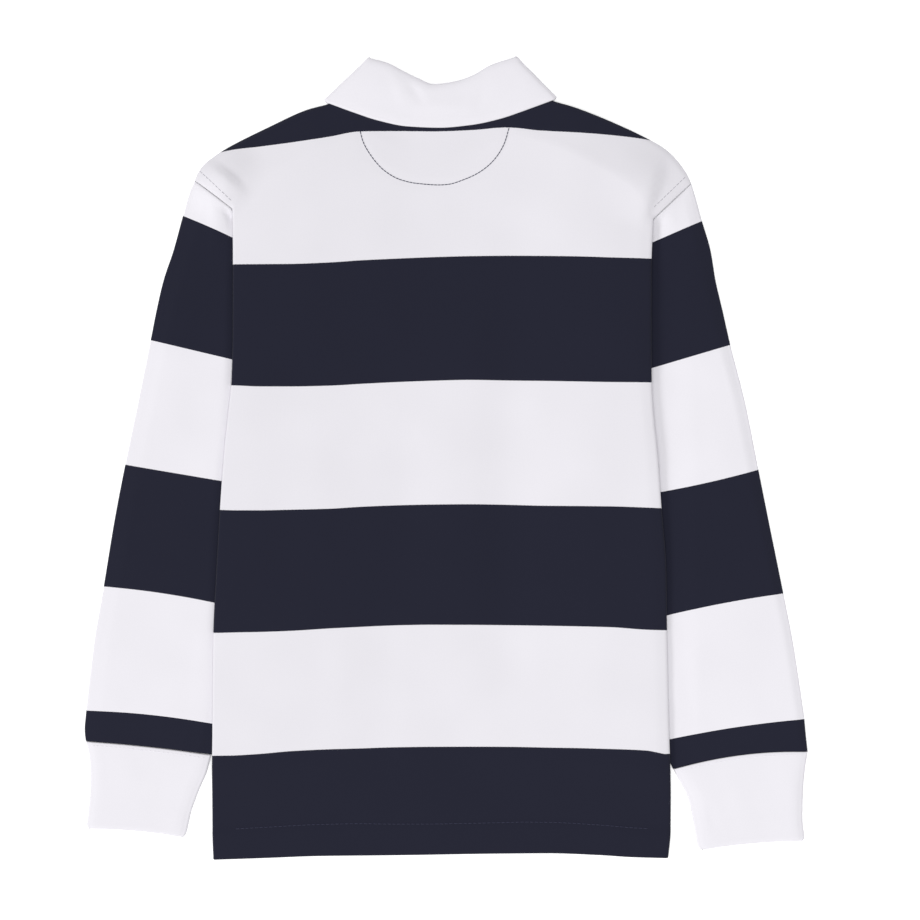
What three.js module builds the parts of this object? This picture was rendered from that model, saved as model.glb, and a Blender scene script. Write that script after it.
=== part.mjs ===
// Rugby shirt laid flat on its front, back up, sleeves down along the body.
// Millimetres. X runs to the right arm, Y to the collar, Z up. Z = 0 is the surface it lies on,
// and the origin is under the middle of the whole shirt.
import * as THREE from "three";

// Cloth
const JERSEY = 1.2;                  // wall of the knitted body and sleeves
const TWILL = 1.2;                   // wall of the collar
const CUFF_BAND = 1.6;               // wall of a cuff, two layers of jersey
const SLIT = 0.4;                    // air between two layers that lie on each other
const LAYER = JERSEY + SLIT;         // height from one layer to the next
const NECK_GAP = 0.6;                // along Y, between a panel's neck edge and the collar's stand

// How the body lies over the sleeves
const SIDE_LIFT = 2 * JERSEY + SLIT + 0.35;   // the body clears the sleeve that is tucked under it
const LIFT_FLAT = 12;                // this far in from the side it stays at that height
const LIFT_END = 34;                 // and here it is down on the surface
const ROLL_DROP = 0.5;               // the back's side edge rolls down by this much
const FRONT_INSET = 2.9;             // the front's edge lies this far inside the rolled edge

// How the front lies over the collar's leaves and the placket
const FRONT_LIFT = TWILL + SLIT;
const NECK_LIFT = { middle: -3, flat: 86, end: 104, flatY: 150, endY: 118 };
const PLACKET_LIFT = { middle: -2.5, flat: 18, end: 33, flatY: 92, endY: 66 };
const PLACKET = { from: -17.5, to: 12.6, lowest: 89 };
const NECK_CUT_FROM = 0.867;         // share of the body's height where the front's rows start to drop

// How air lies in a sleeve or a cuff
const PUFF_END = 0.86;               // share of the width, from the outer fold, where the air ends

// Collar
const COLLAR_HEIGHT = 4 * TWILL + 3 * SLIT;   // four layers: back leaf, back stand, front stand, front leaf
const ROLL_RADIUS = TWILL + SLIT / 2;         // outside of the roll between stand and leaf

// Sides of the body, hem first. y is the height on each side, left and right the edges,
// lift says how far the edge is raised over the sleeve, roll how far it rolls down.
const SIDES = [
  { left: -163.1, leftY: -280.7, right: 155.8, rightY: -279.6, lift: 0, roll: 0.8 },
  { left: -163.8, leftY: -260.1, right: 157.5, rightY: -260.1, lift: 0, roll: 0.8 },
  { left: -163.8, leftY: -239.0, right: 157.5, rightY: -239.0, lift: 0.4, roll: 1 },
  { left: -163.8, leftY: -218.0, right: 157.1, rightY: -218.0, lift: 1, roll: 1 },
  { left: -163.6, leftY: -197.0, right: 156.4, rightY: -197.0, lift: 1, roll: 1 },
  { left: -163.3, leftY: -160.0, right: 155.8, rightY: -160.0, lift: 1, roll: 1 },
  { left: -162.8, leftY: -122.1, right: 154.7, rightY: -122.1, lift: 1, roll: 1 },
  { left: -160.6, leftY: -78.0, right: 154.0, rightY: -78.0, lift: 1, roll: 1 },
  { left: -158.2, leftY: -35.3, right: 150.8, rightY: -35.3, lift: 1, roll: 1 },
  { left: -155.4, leftY: 3.1, right: 148.0, rightY: 3.1, lift: 1, roll: 1 },
  { left: -152.2, leftY: 33.9, right: 144.9, rightY: 33.9, lift: 1, roll: 1 },
  { left: -150.1, leftY: 54.9, right: 143.8, rightY: 54.9, lift: 1, roll: 1 },
  { left: -149.2, leftY: 89.9, right: 143.6, rightY: 89.9, lift: 1, roll: 1 },
  { left: -149.1, leftY: 131.9, right: 143.6, rightY: 129.0, lift: 1, roll: 1 },
  { left: -149.3, leftY: 155.0, right: 144.0, rightY: 149.0, lift: 1, roll: 0.4 },
  { left: -149.4, leftY: 174.6, right: 144.9, rightY: 167.6, lift: 1, roll: 0 },
  { left: -163.1, leftY: 185.1, right: 158.9, rightY: 180.9, lift: 0.55, roll: 0 },
  { left: -176.0, leftY: 194.9, right: 171.8, rightY: 193.0, lift: 0, roll: 0 },
];

// Hem and top edge of both panels, left to right. Between the shoulders back and front part:
// the front is cut lower at the neck.
const ENDS = [
  { x: -176.0, back: 194.9, front: 194.9, hem: -280.7 },
  { x: -173.0, back: 201.3, front: 201.3, hem: -280.6 },
  { x: -169.0, back: 206.3, front: 206.3, hem: -280.5 },
  { x: -162.0, back: 211.9, front: 211.9, hem: -280.3 },
  { x: -155.5, back: 216.2, front: 216.2, hem: -280.1 },
  { x: -148.0, back: 220.5, front: 220.5, hem: -279.9 },
  { x: -139.0, back: 225.0, front: 225.0, hem: -279.6 },
  { x: -125.0, back: 231.8, front: 231.8, hem: -279.1 },
  { x: -109.2, back: 239.0, front: 239.0, hem: -278.5 },
  { x: -96.0, back: 244.7, front: 244.7, hem: -278.1 },
  { x: -86.0, back: 247.2, front: 247.2, hem: -278.0 },
  { x: -80.5, back: 247.5, front: 247.5, hem: -277.9 },
  { x: -73.0, back: 250.2, front: 250.2, hem: -277.8 },
  { x: -65.2, back: 252.6, front: 252.6, hem: -277.7 },
  { x: -49.7, back: 247.0, front: 236.5, hem: -277.6 },
  { x: -33.6, back: 242.1, front: 221.5, hem: -277.5 },
  { x: -17.5, back: 238.6, front: 213.0, hem: -277.3 },
  { x: -2.8, back: 237.2, front: 210.5, hem: -277.1 },
  { x: 12.6, back: 238.6, front: 213.0, hem: -276.9 },
  { x: 28.0, back: 242.1, front: 221.5, hem: -276.7 },
  { x: 43.4, back: 247.0, front: 237.0, hem: -276.4 },
  { x: 59.6, back: 254.2, front: 254.2, hem: -276.1 },
  { x: 66.0, back: 251.0, front: 251.0, hem: -276.1 },
  { x: 72.0, back: 248.6, front: 248.6, hem: -276.1 },
  { x: 79.0, back: 249.2, front: 249.2, hem: -276.2 },
  { x: 90.0, back: 246.0, front: 246.0, hem: -276.4 },
  { x: 104.0, back: 240.8, front: 240.8, hem: -276.7 },
  { x: 120.0, back: 234.2, front: 234.2, hem: -277.5 },
  { x: 135.0, back: 227.2, front: 227.2, hem: -278.4 },
  { x: 144.0, back: 222.8, front: 222.8, hem: -278.9 },
  { x: 152.0, back: 218.1, front: 218.1, hem: -279.2 },
  { x: 159.0, back: 212.2, front: 212.2, hem: -279.4 },
  { x: 165.0, back: 205.0, front: 205.0, hem: -279.5 },
  { x: 169.0, back: 199.0, front: 199.0, hem: -279.6 },
  { x: 171.8, back: 193.0, front: 193.0, hem: -279.6 },
];

// Soft folds of the back: middle, length, width, turn from the Y axis in degrees, and rise.
const BACK_FOLDS = [
  { x: 27, y: 32, long: 110, wide: 30, turn: 4, rise: 1.2 },
  { x: -127, y: 165, long: 90, wide: 24, turn: -10, rise: 1.2 },
  { x: 118, y: 160, long: 86, wide: 24, turn: 12, rise: 1.2 },
  { x: -62, y: -120, long: 170, wide: 40, turn: 3, rise: 1.1 },
  { x: 96, y: -95, long: 180, wide: 42, turn: -4, rise: 1.1 },
  { x: -20, y: -205, long: 90, wide: 34, turn: -8, rise: 0.9 },
  { x: 2, y: 140, long: 130, wide: 52, turn: 84, rise: 0.9 },
];

// Sleeves from the armhole seam to the cuff seam. Each row is one course of the knit across the
// laid sleeve, from its outer fold to its inner edge, which is tucked under the body.
// bow lifts the middle of the row, puff is the air inside.
const SLEEVE_LEFT = [
  { outX: -176.0, outY: 194.2, inX: -149.8, inY: 174.2, bow: 0, puff: 0 },
  { outX: -179.2, outY: 187.9, inX: -146.6, inY: 166.5, bow: 0, puff: 0.8 },
  { outX: -184.4, outY: 170.4, inX: -142.1, inY: 151.5, bow: 0.4, puff: 1.7 },
  { outX: -191.1, outY: 145.9, inX: -142.3, inY: 128.0, bow: 0.2, puff: 2.1 },
  { outX: -198.1, outY: 124.9, inX: -142.6, inY: 107.5, bow: 0, puff: 2.2 },
  { outX: -203.0, outY: 103.9, inX: -143.0, inY: 88.0, bow: 0, puff: 2.2 },
  { outX: -207.2, outY: 82.6, inX: -143.5, inY: 67.5, bow: 0, puff: 2.2 },
  { outX: -215.6, outY: 40.9, inX: -146.0, inY: 27.0, bow: 0, puff: 2.1 },
  { outX: -225.0, outY: -4.5, inX: -150.5, inY: -17.1, bow: 0, puff: 2.1 },
  { outX: -232.4, outY: -43.0, inX: -152.6, inY: -55.5, bow: 0.8, puff: 2.2 },
  { outX: -240.1, outY: -89.9, inX: -154.7, inY: -102.9, bow: 1.6, puff: 2.2 },
  { outX: -246.4, outY: -127.0, inX: -156.4, inY: -138.5, bow: 1.8, puff: 2.1 },
  { outX: -252.3, outY: -176.8, inX: -158.5, inY: -186.9, bow: 2.0, puff: 1.0 },
  { outX: -253.4, outY: -190.0, inX: -161.0, inY: -199.5, bow: 1.5, puff: 0.8 },
  { outX: -252.7, outY: -197.8, inX: -162.8, inY: -207.5, bow: 1.0, puff: 0.6 },
];
const SLEEVE_RIGHT = [
  { outX: 171.8, outY: 192.1, inX: 144.9, inY: 166.9, bow: 0, puff: 0 },
  { outX: 174.6, outY: 184.4, inX: 141.6, inY: 160.5, bow: 0, puff: 0.8 },
  { outX: 179.5, outY: 166.6, inX: 136.5, inY: 148.0, bow: 0, puff: 1.7 },
  { outX: 185.5, outY: 145.9, inX: 136.7, inY: 127.0, bow: 0, puff: 2.1 },
  { outX: 189.0, outY: 124.9, inX: 137.0, inY: 106.0, bow: 0, puff: 2.2 },
  { outX: 193.9, outY: 103.9, inX: 137.4, inY: 85.0, bow: 0, puff: 2.2 },
  { outX: 199.5, outY: 79.1, inX: 137.9, inY: 60.9, bow: 0, puff: 2.2 },
  { outX: 209.3, outY: 40.9, inX: 140.8, inY: 22.0, bow: -0.5, puff: 2.1 },
  { outX: 219.1, outY: -8.0, inX: 144.2, inY: -24.8, bow: -1.0, puff: 2.1 },
  { outX: 226.1, outY: -43.0, inX: 145.6, inY: -59.5, bow: 0.5, puff: 2.2 },
  { outX: 236.6, outY: -94.8, inX: 147.7, inY: -112.0, bow: 1.4, puff: 2.2 },
  { outX: 242.9, outY: -127.0, inX: 148.8, inY: -143.5, bow: 1.6, puff: 2.1 },
  { outX: 251.3, outY: -182.7, inX: 151.2, inY: -198.1, bow: 1.8, puff: 1.0 },
  { outX: 252.3, outY: -193.5, inX: 154.5, inY: -207.8, bow: 2.8, puff: 0.8 },
  { outX: 253.6, outY: -205.0, inX: 158.2, inY: -217.1, bow: 3.9, puff: 0.6 },
];
const UNDERARM_ROW = 14;             // from this row of the smoothed table the sleeve is a closed tube

// Cuffs from the cuff seam to the wrist, on the same plan as the sleeves.
const CUFF_LEFT = [
  { outX: -252.6, outY: -198.4, inX: -164.6, inY: -208.0, bow: 1.0, puff: 0.3 },
  { outX: -250.0, outY: -208.9, inX: -167.6, inY: -219.4, bow: 0.8, puff: 0.5 },
  { outX: -249.2, outY: -226.4, inX: -172.9, inY: -232.0, bow: 0.8, puff: 0.6 },
  { outX: -250.4, outY: -244.6, inX: -178.5, inY: -247.4, bow: 1.2, puff: 0.5 },
  { outX: -252.0, outY: -259.3, inX: -182.8, inY: -265.6, bow: 1.7, puff: 0.3 },
];
const CUFF_RIGHT = [
  { outX: 253.6, outY: -205.6, inX: 159.4, inY: -217.8, bow: 3.9, puff: 0.3 },
  { outX: 251.6, outY: -218.0, inX: 163.5, inY: -225.7, bow: 2.6, puff: 0.5 },
  { outX: 250.4, outY: -232.0, inX: 169.8, inY: -239.0, bow: 2.0, puff: 0.6 },
  { outX: 249.9, outY: -251.6, inX: 173.2, inY: -254.4, bow: 1.6, puff: 0.5 },
  { outX: 251.4, outY: -267.8, inX: 177.1, inY: -274.4, bow: 1.6, puff: 0.3 },
];

// Collar stations. neckX picks the place on the panels' neck edge, roll is the line where the stand
// turns over into the leaf, edge is the free edge of the leaf. The first and last station of the back
// are the axes of the folds at the collar's sides, which the front shares.
const COLLAR_BACK = [
  { neckX: -65.2, rollX: -50.4, rollY: 278.6, edgeX: -81.5, edgeY: 247.6 },
  { neckX: -49.7, rollX: -40.6, rollY: 275.9, edgeX: -64.7, edgeY: 242.3 },
  { neckX: -33.6, rollX: -28.7, rollY: 270.5, edgeX: -47.2, edgeY: 236.7 },
  { neckX: -17.5, rollX: -18.2, rollY: 265.5, edgeX: -27.3, edgeY: 232.7 },
  { neckX: -2.8, rollX: -8.4, rollY: 261.9, edgeX: -4.9, edgeY: 231.7 },
  { neckX: 12.6, rollX: 6.3, rollY: 263.8, edgeX: 17.5, edgeY: 233.6 },
  { neckX: 28.0, rollX: 18.9, rollY: 268.2, edgeX: 37.8, edgeY: 237.9 },
  { neckX: 43.4, rollX: 30.8, rollY: 274.4, edgeX: 56.0, edgeY: 243.9 },
  { neckX: 59.6, rollX: 46.9, rollY: 278.9, edgeX: 74.3, edgeY: 249.6 },
];
const COLLAR_FRONT_LEFT = [
  { neckX: -18.6, rollX: -21.5, rollY: 222.5, edgeX: -47.0, edgeY: 180.0 },
  { neckX: -33.6, rollX: -27.0, rollY: 236.0, edgeX: -57.0, edgeY: 199.0 },
  { neckX: -49.7, rollX: -37.5, rollY: 258.0, edgeX: -69.0, edgeY: 224.0 },
];
const COLLAR_FRONT_RIGHT = [
  { neckX: 43.4, rollX: 34.0, rollY: 258.5, edgeX: 62.5, edgeY: 226.0 },
  { neckX: 28.0, rollX: 21.0, rollY: 236.0, edgeX: 51.0, edgeY: 200.0 },
  { neckX: 13.7, rollX: 16.0, rollY: 222.5, edgeX: 41.5, edgeY: 180.0 },
];
const FOLD_ANGLES = [-54, -18, 18, 54];      // stations round a side fold, in degrees from level

// Colours of the cloth
const WHITE = 0xefebf2;
const NAVY = 0x272835;

const clamp = (value) => Math.min(1, Math.max(0, value));
const mix = (a, b, t) => a + (b - a) * t;

function smooth(value) {
  const t = clamp(value);
  return t * t * (3 - 2 * t);
}

// One at the flat distance and nearer, zero at the end distance and beyond.
function fade(distance, flat, end) {
  return 1 - smooth((distance - flat) / (end - flat));
}

// Reads a column of a table at x, straight between its rows.
function readAt(table, column, x) {
  let row = 0;
  while (row < table.length - 2 && x > table[row + 1].x) row += 1;
  const part = (x - table[row].x) / (table[row + 1].x - table[row].x);
  return mix(table[row][column], table[row + 1][column], clamp(part));
}

// A closed solid from four-sided cells over two sets of points, one for each face of the cloth.
// Edges that belong to one cell only are closed with a rim.
function clothSolid(cells, outer, inner) {
  const positions = [...outer, ...inner].flat();
  const shift = outer.length;
  const index = [];
  const edges = new Set();
  const edgeName = (from, to) => `${from}>${to}`;
  for (const [a, b, c, d] of cells) {
    index.push(a, b, c, a, c, d);
    index.push(a + shift, c + shift, b + shift, a + shift, d + shift, c + shift);
    for (const [from, to] of [[a, b], [b, c], [c, d], [d, a]]) edges.add(edgeName(from, to));
  }
  for (const cell of cells) {
    cell.forEach((from, corner) => {
      const to = cell[(corner + 1) % 4];
      if (edges.has(edgeName(to, from))) return;
      index.push(from, from + shift, to + shift, from, to + shift, to);
    });
  }
  const geometry = new THREE.BufferGeometry();
  geometry.setAttribute("position", new THREE.Float32BufferAttribute(positions, 3));
  geometry.setIndex(index);
  geometry.computeVertexNormals();
  return geometry;
}

// Cells of a plain grid whose points are stored row by row.
function gridCells(rows, columns) {
  const cells = [];
  for (let row = 0; row < rows - 1; row += 1) {
    for (let column = 0; column < columns - 1; column += 1) {
      const start = row * columns + column;
      cells.push([start, start + 1, start + columns + 1, start + columns]);
    }
  }
  return cells;
}

// Where a point of the body lies on the flat plan. The four edges are blended into the middle.
// The front's topmost rows drop to its lower neck.
function bodyPlan(side, end, topColumn) {
  const first = ENDS[0];
  const last = ENDS[ENDS.length - 1];
  const hemRow = SIDES[0];
  const topRow = SIDES[SIDES.length - 1];
  const across = (end.x - first.x) / (last.x - first.x);
  const upwards = (side.leftY - hemRow.leftY) / (topRow.leftY - hemRow.leftY);
  const hemX = mix(hemRow.left, hemRow.right, across);
  const x = mix(hemX, end.x, upwards)
    + mix(side.left, side.right, across)
    - mix(hemX, mix(topRow.left, topRow.right, across), upwards);
  const y = mix(end.hem, end.back, upwards)
    + mix(side.leftY, side.rightY, across)
    - mix(mix(hemRow.leftY, hemRow.rightY, across), mix(topRow.leftY, topRow.rightY, across), upwards);
  const neckDrop = (end.back - end[topColumn]) * clamp((upwards - NECK_CUT_FROM) / (1 - NECK_CUT_FROM));
  return { x, y: y - neckDrop };
}

// Height of the front's underside over the surface.
function frontHeight(side, plan) {
  const nearest = Math.min(plan.x - side.left, side.right - plan.x);
  const overSleeve = SIDE_LIFT * side.lift * fade(nearest, LIFT_FLAT, LIFT_END);
  const overCollar = fade(Math.abs(plan.x - NECK_LIFT.middle), NECK_LIFT.flat, NECK_LIFT.end)
    * smooth((plan.y - NECK_LIFT.endY) / (NECK_LIFT.flatY - NECK_LIFT.endY));
  const overPlacket = fade(Math.abs(plan.x - PLACKET_LIFT.middle), PLACKET_LIFT.flat, PLACKET_LIFT.end)
    * smooth((plan.y - PLACKET_LIFT.endY) / (PLACKET_LIFT.flatY - PLACKET_LIFT.endY));
  return overSleeve + FRONT_LIFT * Math.max(overCollar, overPlacket);
}

// Air under the back: its soft folds.
function backAir(plan) {
  let air = 0;
  for (const fold of BACK_FOLDS) {
    const turn = THREE.MathUtils.degToRad(fold.turn);
    const dx = plan.x - fold.x;
    const dy = plan.y - fold.y;
    const along = (dx * Math.sin(turn) + dy * Math.cos(turn)) / (fold.long / 2);
    const aside = (dx * Math.cos(turn) - dy * Math.sin(turn)) / (fold.wide / 2);
    air += fold.rise * (1 - smooth(Math.abs(along))) * (1 - smooth(Math.abs(aside)));
  }
  return air;
}

// Points of one panel's lower face and upper face.
function panelPoints(topColumn) {
  const isBack = topColumn === "back";
  const lower = [];
  const upper = [];
  for (const side of SIDES) {
    ENDS.forEach((end, column) => {
      const plan = bodyPlan(side, end, topColumn);
      const outermost = column === 0 || column === ENDS.length - 1;
      let height = frontHeight(side, plan);
      if (isBack) {
        height += LAYER + backAir(plan);
        if (outermost) height -= ROLL_DROP * side.roll;
      } else if (outermost) {
        plan.x += (column === 0 ? 1 : -1) * FRONT_INSET * Math.min(1, 2 * side.roll);
      }
      lower.push([plan.x, plan.y, height]);
      upper.push([plan.x, plan.y, height + JERSEY]);
    });
  }
  return { lower, upper };
}

function panelGeometry(topColumn) {
  const { lower, upper } = panelPoints(topColumn);
  return clothSolid(gridCells(SIDES.length, ENDS.length), upper, lower);
}

// The placket lies on the outer face of the front, made from the front's own points, moved out.
function placketGeometry() {
  const { lower } = panelPoints("front");
  const upperFace = [];
  const lowerFace = [];
  let rows = 0;
  SIDES.forEach((side, row) => {
    if (side.leftY < PLACKET.lowest) return;
    rows += 1;
    ENDS.forEach((end, column) => {
      if (end.x < PLACKET.from || end.x > PLACKET.to) return;
      const [x, y, z] = lower[row * ENDS.length + column];
      upperFace.push([x, y, z - SLIT]);
      lowerFace.push([x, y, z - SLIT - JERSEY]);
    });
  });
  return clothSolid(gridCells(rows, upperFace.length / rows), upperFace, lowerFace);
}

// A hairpin turn of the cloth: points half way round, at a radius, as distance past the turn's
// centre and depth below the outer face.
function hairpin(radius, centreDepth) {
  return [45, 90, 135].map((degrees) => {
    const angle = THREE.MathUtils.degToRad(degrees);
    return { past: radius * Math.sin(angle), depth: centreDepth - radius * Math.cos(angle) };
  });
}

// A table with a row added half way between each two, on a smooth curve through all of them.
function smoothRows(table) {
  const rows = [];
  table.forEach((row, number) => {
    rows.push(row);
    if (number === table.length - 1) return;
    const before = table[Math.max(number - 1, 0)];
    const next = table[number + 1];
    const after = table[Math.min(number + 2, table.length - 1)];
    const middle = {};
    for (const column of Object.keys(row)) {
      middle[column] = (9 * (row[column] + next[column]) - before[column] - after[column]) / 16;
    }
    rows.push(middle);
  });
  return rows;
}

// A flattened tube of cloth laid on the surface, from a table of rows. Rows before closedFrom stay
// open on their inner side, where a sleeve is sewn to the body.
function flatTube(table, wall, closedFrom, mirrored) {
  const rows = smoothRows(table);
  const edgeRadius = wall + SLIT / 2;
  const tightRadius = SLIT / 2;
  const shares = [0.9, 0.8, 0.68, 0.55, 0.42, 0.3, 0.18, 0.09];   // over the top, from the inner edge
  const underShares = [0.22, 0.5, 0.78];
  const outer = [];
  const inner = [];
  const rings = [];
  rows.forEach((row, number) => {
    const width = Math.hypot(row.outX - row.inX, row.outY - row.inY);
    const place = (share) => [
      mix(row.outX, row.inX, share),
      mix(row.outY, row.inY, share) + row.bow * 4 * share * (1 - share),
    ];
    const puff = (share) => row.puff * Math.sin(Math.PI * clamp(share / PUFF_END)) ** 2;
    const ring = [];
    const add = (outerShare, outerZ, innerShare, innerZ) => {
      ring.push(outer.length);
      outer.push([...place(outerShare), outerZ]);
      inner.push([...place(innerShare), innerZ]);
    };
    const top = 2 * wall + SLIT;
    const near = edgeRadius / width;
    add(1 - near, top, 1 - near, wall + SLIT);
    for (const share of shares) {
      add(share, top + puff(share), share, wall + SLIT + puff(share));
    }
    add(near, top, near, wall + SLIT);
    const wide = hairpin(edgeRadius, edgeRadius);
    const tight = hairpin(tightRadius, edgeRadius);
    wide.forEach((turn, i) => {
      add((edgeRadius - turn.past) / width, top - turn.depth,
        (edgeRadius - tight[i].past) / width, top - tight[i].depth);
    });
    add(near, 0, near, wall);
    for (const share of underShares) add(share, 0, share, wall);
    add(1 - near, 0, 1 - near, wall);
    if (number >= closedFrom) {
      [...wide].reverse().forEach((turn, i) => {
        const close = tight[tight.length - 1 - i];
        add(1 - (edgeRadius - turn.past) / width, top - turn.depth,
          1 - (edgeRadius - close.past) / width, top - close.depth);
      });
    }
    rings.push(ring);
  });
  const cells = [];
  for (let number = 0; number < rings.length - 1; number += 1) {
    const here = rings[number];
    const next = rings[number + 1];
    const steps = Math.min(here.length, next.length);
    const closed = number >= closedFrom;
    for (let j = 0; j < (closed ? steps : steps - 1); j += 1) {
      const k = (j + 1) % here.length;
      const cell = [here[j], here[k], next[k], next[j]];
      cells.push(mirrored ? cell.reverse() : cell);
    }
  }
  return clothSolid(cells, outer, inner);
}

// One station of the collar: ten points from the leaf's free edge over the roll to the neck seam,
// on the outer and the inner face of the cloth. The angle says which way the outer face looks:
// 90 degrees is up, -90 is down.
function collarStation(row, topColumn, angle, outward) {
  const half = COLLAR_HEIGHT / 2;
  const turn = THREE.MathUtils.degToRad(angle);
  const facing = [outward[0] * Math.cos(turn), outward[1] * Math.cos(turn), Math.sin(turn)];
  const neck = [row.neckX, readAt(ENDS, topColumn, row.neckX) + NECK_GAP];
  const edge = [row.edgeX, row.edgeY];
  const roll = [row.rollX, row.rollY];
  const middle = [(neck[0] + edge[0]) / 2, (neck[1] + edge[1]) / 2];
  const reach = Math.hypot(roll[0] - middle[0], roll[1] - middle[1]);
  const ahead = [(roll[0] - middle[0]) / reach, (roll[1] - middle[1]) / reach];
  const centre = [roll[0] - ahead[0] * ROLL_RADIUS, roll[1] - ahead[1] * ROLL_RADIUS];
  const point = (flat, depth) => [
    flat[0] + facing[0] * (half - depth),
    flat[1] + facing[1] * (half - depth),
    half + facing[2] * (half - depth),
  ];
  const between = (from, to, share) => [mix(from[0], to[0], share), mix(from[1], to[1], share)];
  const past = (distance) => [centre[0] + ahead[0] * distance, centre[1] + ahead[1] * distance];
  const outer = [];
  const inner = [];
  for (const share of [0, 1 / 3, 2 / 3, 1]) {
    outer.push(point(between(edge, centre, share), 0));
    inner.push(point(between(edge, centre, share), TWILL));
  }
  const wide = hairpin(ROLL_RADIUS, ROLL_RADIUS);
  const tight = hairpin(SLIT / 2, ROLL_RADIUS);
  wide.forEach((bend, i) => {
    outer.push(point(past(bend.past), bend.depth));
    inner.push(point(past(tight[i].past), tight[i].depth));
  });
  for (const share of [0, 0.5, 1]) {
    outer.push(point(between(centre, neck, share), 2 * TWILL + SLIT));
    inner.push(point(between(centre, neck, share), TWILL + SLIT));
  }
  return { outer, inner };
}

// The way a side fold of the collar faces on the plan: square to its line.
function foldOutward(row, towardX) {
  const dx = row.rollX - row.edgeX;
  const dy = row.rollY - row.edgeY;
  const length = Math.hypot(dx, dy);
  const sign = Math.sign(towardX) * Math.sign(dy);
  return [sign * dy / length, -sign * dx / length];
}

// The collar is one band, from its left end in front, round the back, to its right end in front.
function collarGeometry() {
  const leftFold = COLLAR_BACK[0];
  const rightFold = COLLAR_BACK[COLLAR_BACK.length - 1];
  const leftOut = foldOutward(leftFold, -1);
  const rightOut = foldOutward(rightFold, 1);
  const stations = [
    ...COLLAR_FRONT_LEFT.map((row) => collarStation(row, "front", -90, leftOut)),
    ...[-90, ...FOLD_ANGLES].map((angle) => collarStation(leftFold, "back", angle, leftOut)),
    ...COLLAR_BACK.map((row) => collarStation(row, "back", 90, leftOut)),
    ...[...FOLD_ANGLES].reverse().map((angle) => collarStation(rightFold, "back", angle, rightOut)),
    collarStation(rightFold, "back", -90, rightOut),
    ...COLLAR_FRONT_RIGHT.map((row) => collarStation(row, "front", -90, rightOut)),
  ];
  const points = stations[0].outer.length;
  const outer = stations.flatMap((station) => station.outer);
  const inner = stations.flatMap((station) => station.inner);
  const cells = gridCells(stations.length, points).map(([a, b, c, d]) => [a, d, c, b]);
  return clothSolid(cells, outer, inner);
}

const shirt = new THREE.Group();

function addPiece(name, geometry, color, roughness) {
  const material = new THREE.MeshStandardMaterial({ color, roughness, metalness: 0 });
  const mesh = new THREE.Mesh(geometry, material);
  mesh.name = name;
  shirt.add(mesh);
}

const JERSEY_ROUGHNESS = 0.9;
const TWILL_ROUGHNESS = 0.85;

addPiece("front_panel", panelGeometry("front"), NAVY, JERSEY_ROUGHNESS);
addPiece("back_panel", panelGeometry("back"), NAVY, JERSEY_ROUGHNESS);
addPiece("placket", placketGeometry(), WHITE, TWILL_ROUGHNESS);
addPiece("collar", collarGeometry(), WHITE, TWILL_ROUGHNESS);
addPiece("sleeve_left", flatTube(SLEEVE_LEFT, JERSEY, UNDERARM_ROW, false), NAVY, JERSEY_ROUGHNESS);
addPiece("sleeve_right", flatTube(SLEEVE_RIGHT, JERSEY, UNDERARM_ROW, true), NAVY, JERSEY_ROUGHNESS);
addPiece("cuff_left", flatTube(CUFF_LEFT, CUFF_BAND, 0, false), WHITE, JERSEY_ROUGHNESS);
addPiece("cuff_right", flatTube(CUFF_RIGHT, CUFF_BAND, 0, true), WHITE, JERSEY_ROUGHNESS);

export default shirt;
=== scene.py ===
# %% [markdown]
# A striped rugby shirt, laid flat with its back up and both sleeves down along the body.
# The solids of the shirt come in as a fixed frame. Each cut piece is made here once more as thin
# cloth on its solid's form, with soft edges, creases, knitted stripes and sewing.
# Sizes of the shirt are in millimetres and turn into metres when a mesh is made. Lamps, floor,
# the depth of a relief and the flat sizes at the end are in metres.

# %% Load the frame and keep its size
import math
from collections import namedtuple

import bpy
import numpy as np
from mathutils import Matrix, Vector
from mathutils.bvhtree import BVHTree


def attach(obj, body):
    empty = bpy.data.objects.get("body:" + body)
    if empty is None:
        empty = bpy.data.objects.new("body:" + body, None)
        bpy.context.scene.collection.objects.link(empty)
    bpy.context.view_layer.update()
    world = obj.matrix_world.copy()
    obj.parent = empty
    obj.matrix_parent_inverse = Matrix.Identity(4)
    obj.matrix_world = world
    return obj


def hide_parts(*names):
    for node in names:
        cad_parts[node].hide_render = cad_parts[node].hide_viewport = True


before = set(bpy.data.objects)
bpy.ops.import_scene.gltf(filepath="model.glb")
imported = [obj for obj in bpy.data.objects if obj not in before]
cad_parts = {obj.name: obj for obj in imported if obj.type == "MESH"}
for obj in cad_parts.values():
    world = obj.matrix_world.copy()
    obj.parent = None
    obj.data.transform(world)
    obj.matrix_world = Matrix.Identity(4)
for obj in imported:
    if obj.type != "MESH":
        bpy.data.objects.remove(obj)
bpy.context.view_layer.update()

MM = 0.001
print("pieces of the frame:", sorted(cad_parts))

# %% [markdown]
# The photograph was taken from straight above with a long lens, so nothing leans.
# An 85 mm lens on a 36 mm sensor, high enough for the picture to span 644 mm of cloth, gives
# the same view. The camera looks down by itself when it isn't turned.

# %% Camera
LENS = 85
SENSOR = 36
PICTURE_WIDTH = 644.0
PICTURE_MIDDLE = (9.8, -1.05)
CLOTH_LEVEL = 4.0

camera_height = CLOTH_LEVEL + PICTURE_WIDTH * LENS / SENSOR
camera_data = bpy.data.cameras.new("camera")
camera_data.lens = LENS
camera_data.sensor_width = SENSOR
camera = bpy.data.objects.new("camera", camera_data)
camera.location = (PICTURE_MIDDLE[0] * MM, PICTURE_MIDDLE[1] * MM, camera_height * MM)
bpy.context.scene.collection.objects.link(camera)
bpy.context.scene.camera = camera
print("camera height in mm:", round(camera_height))

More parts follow.
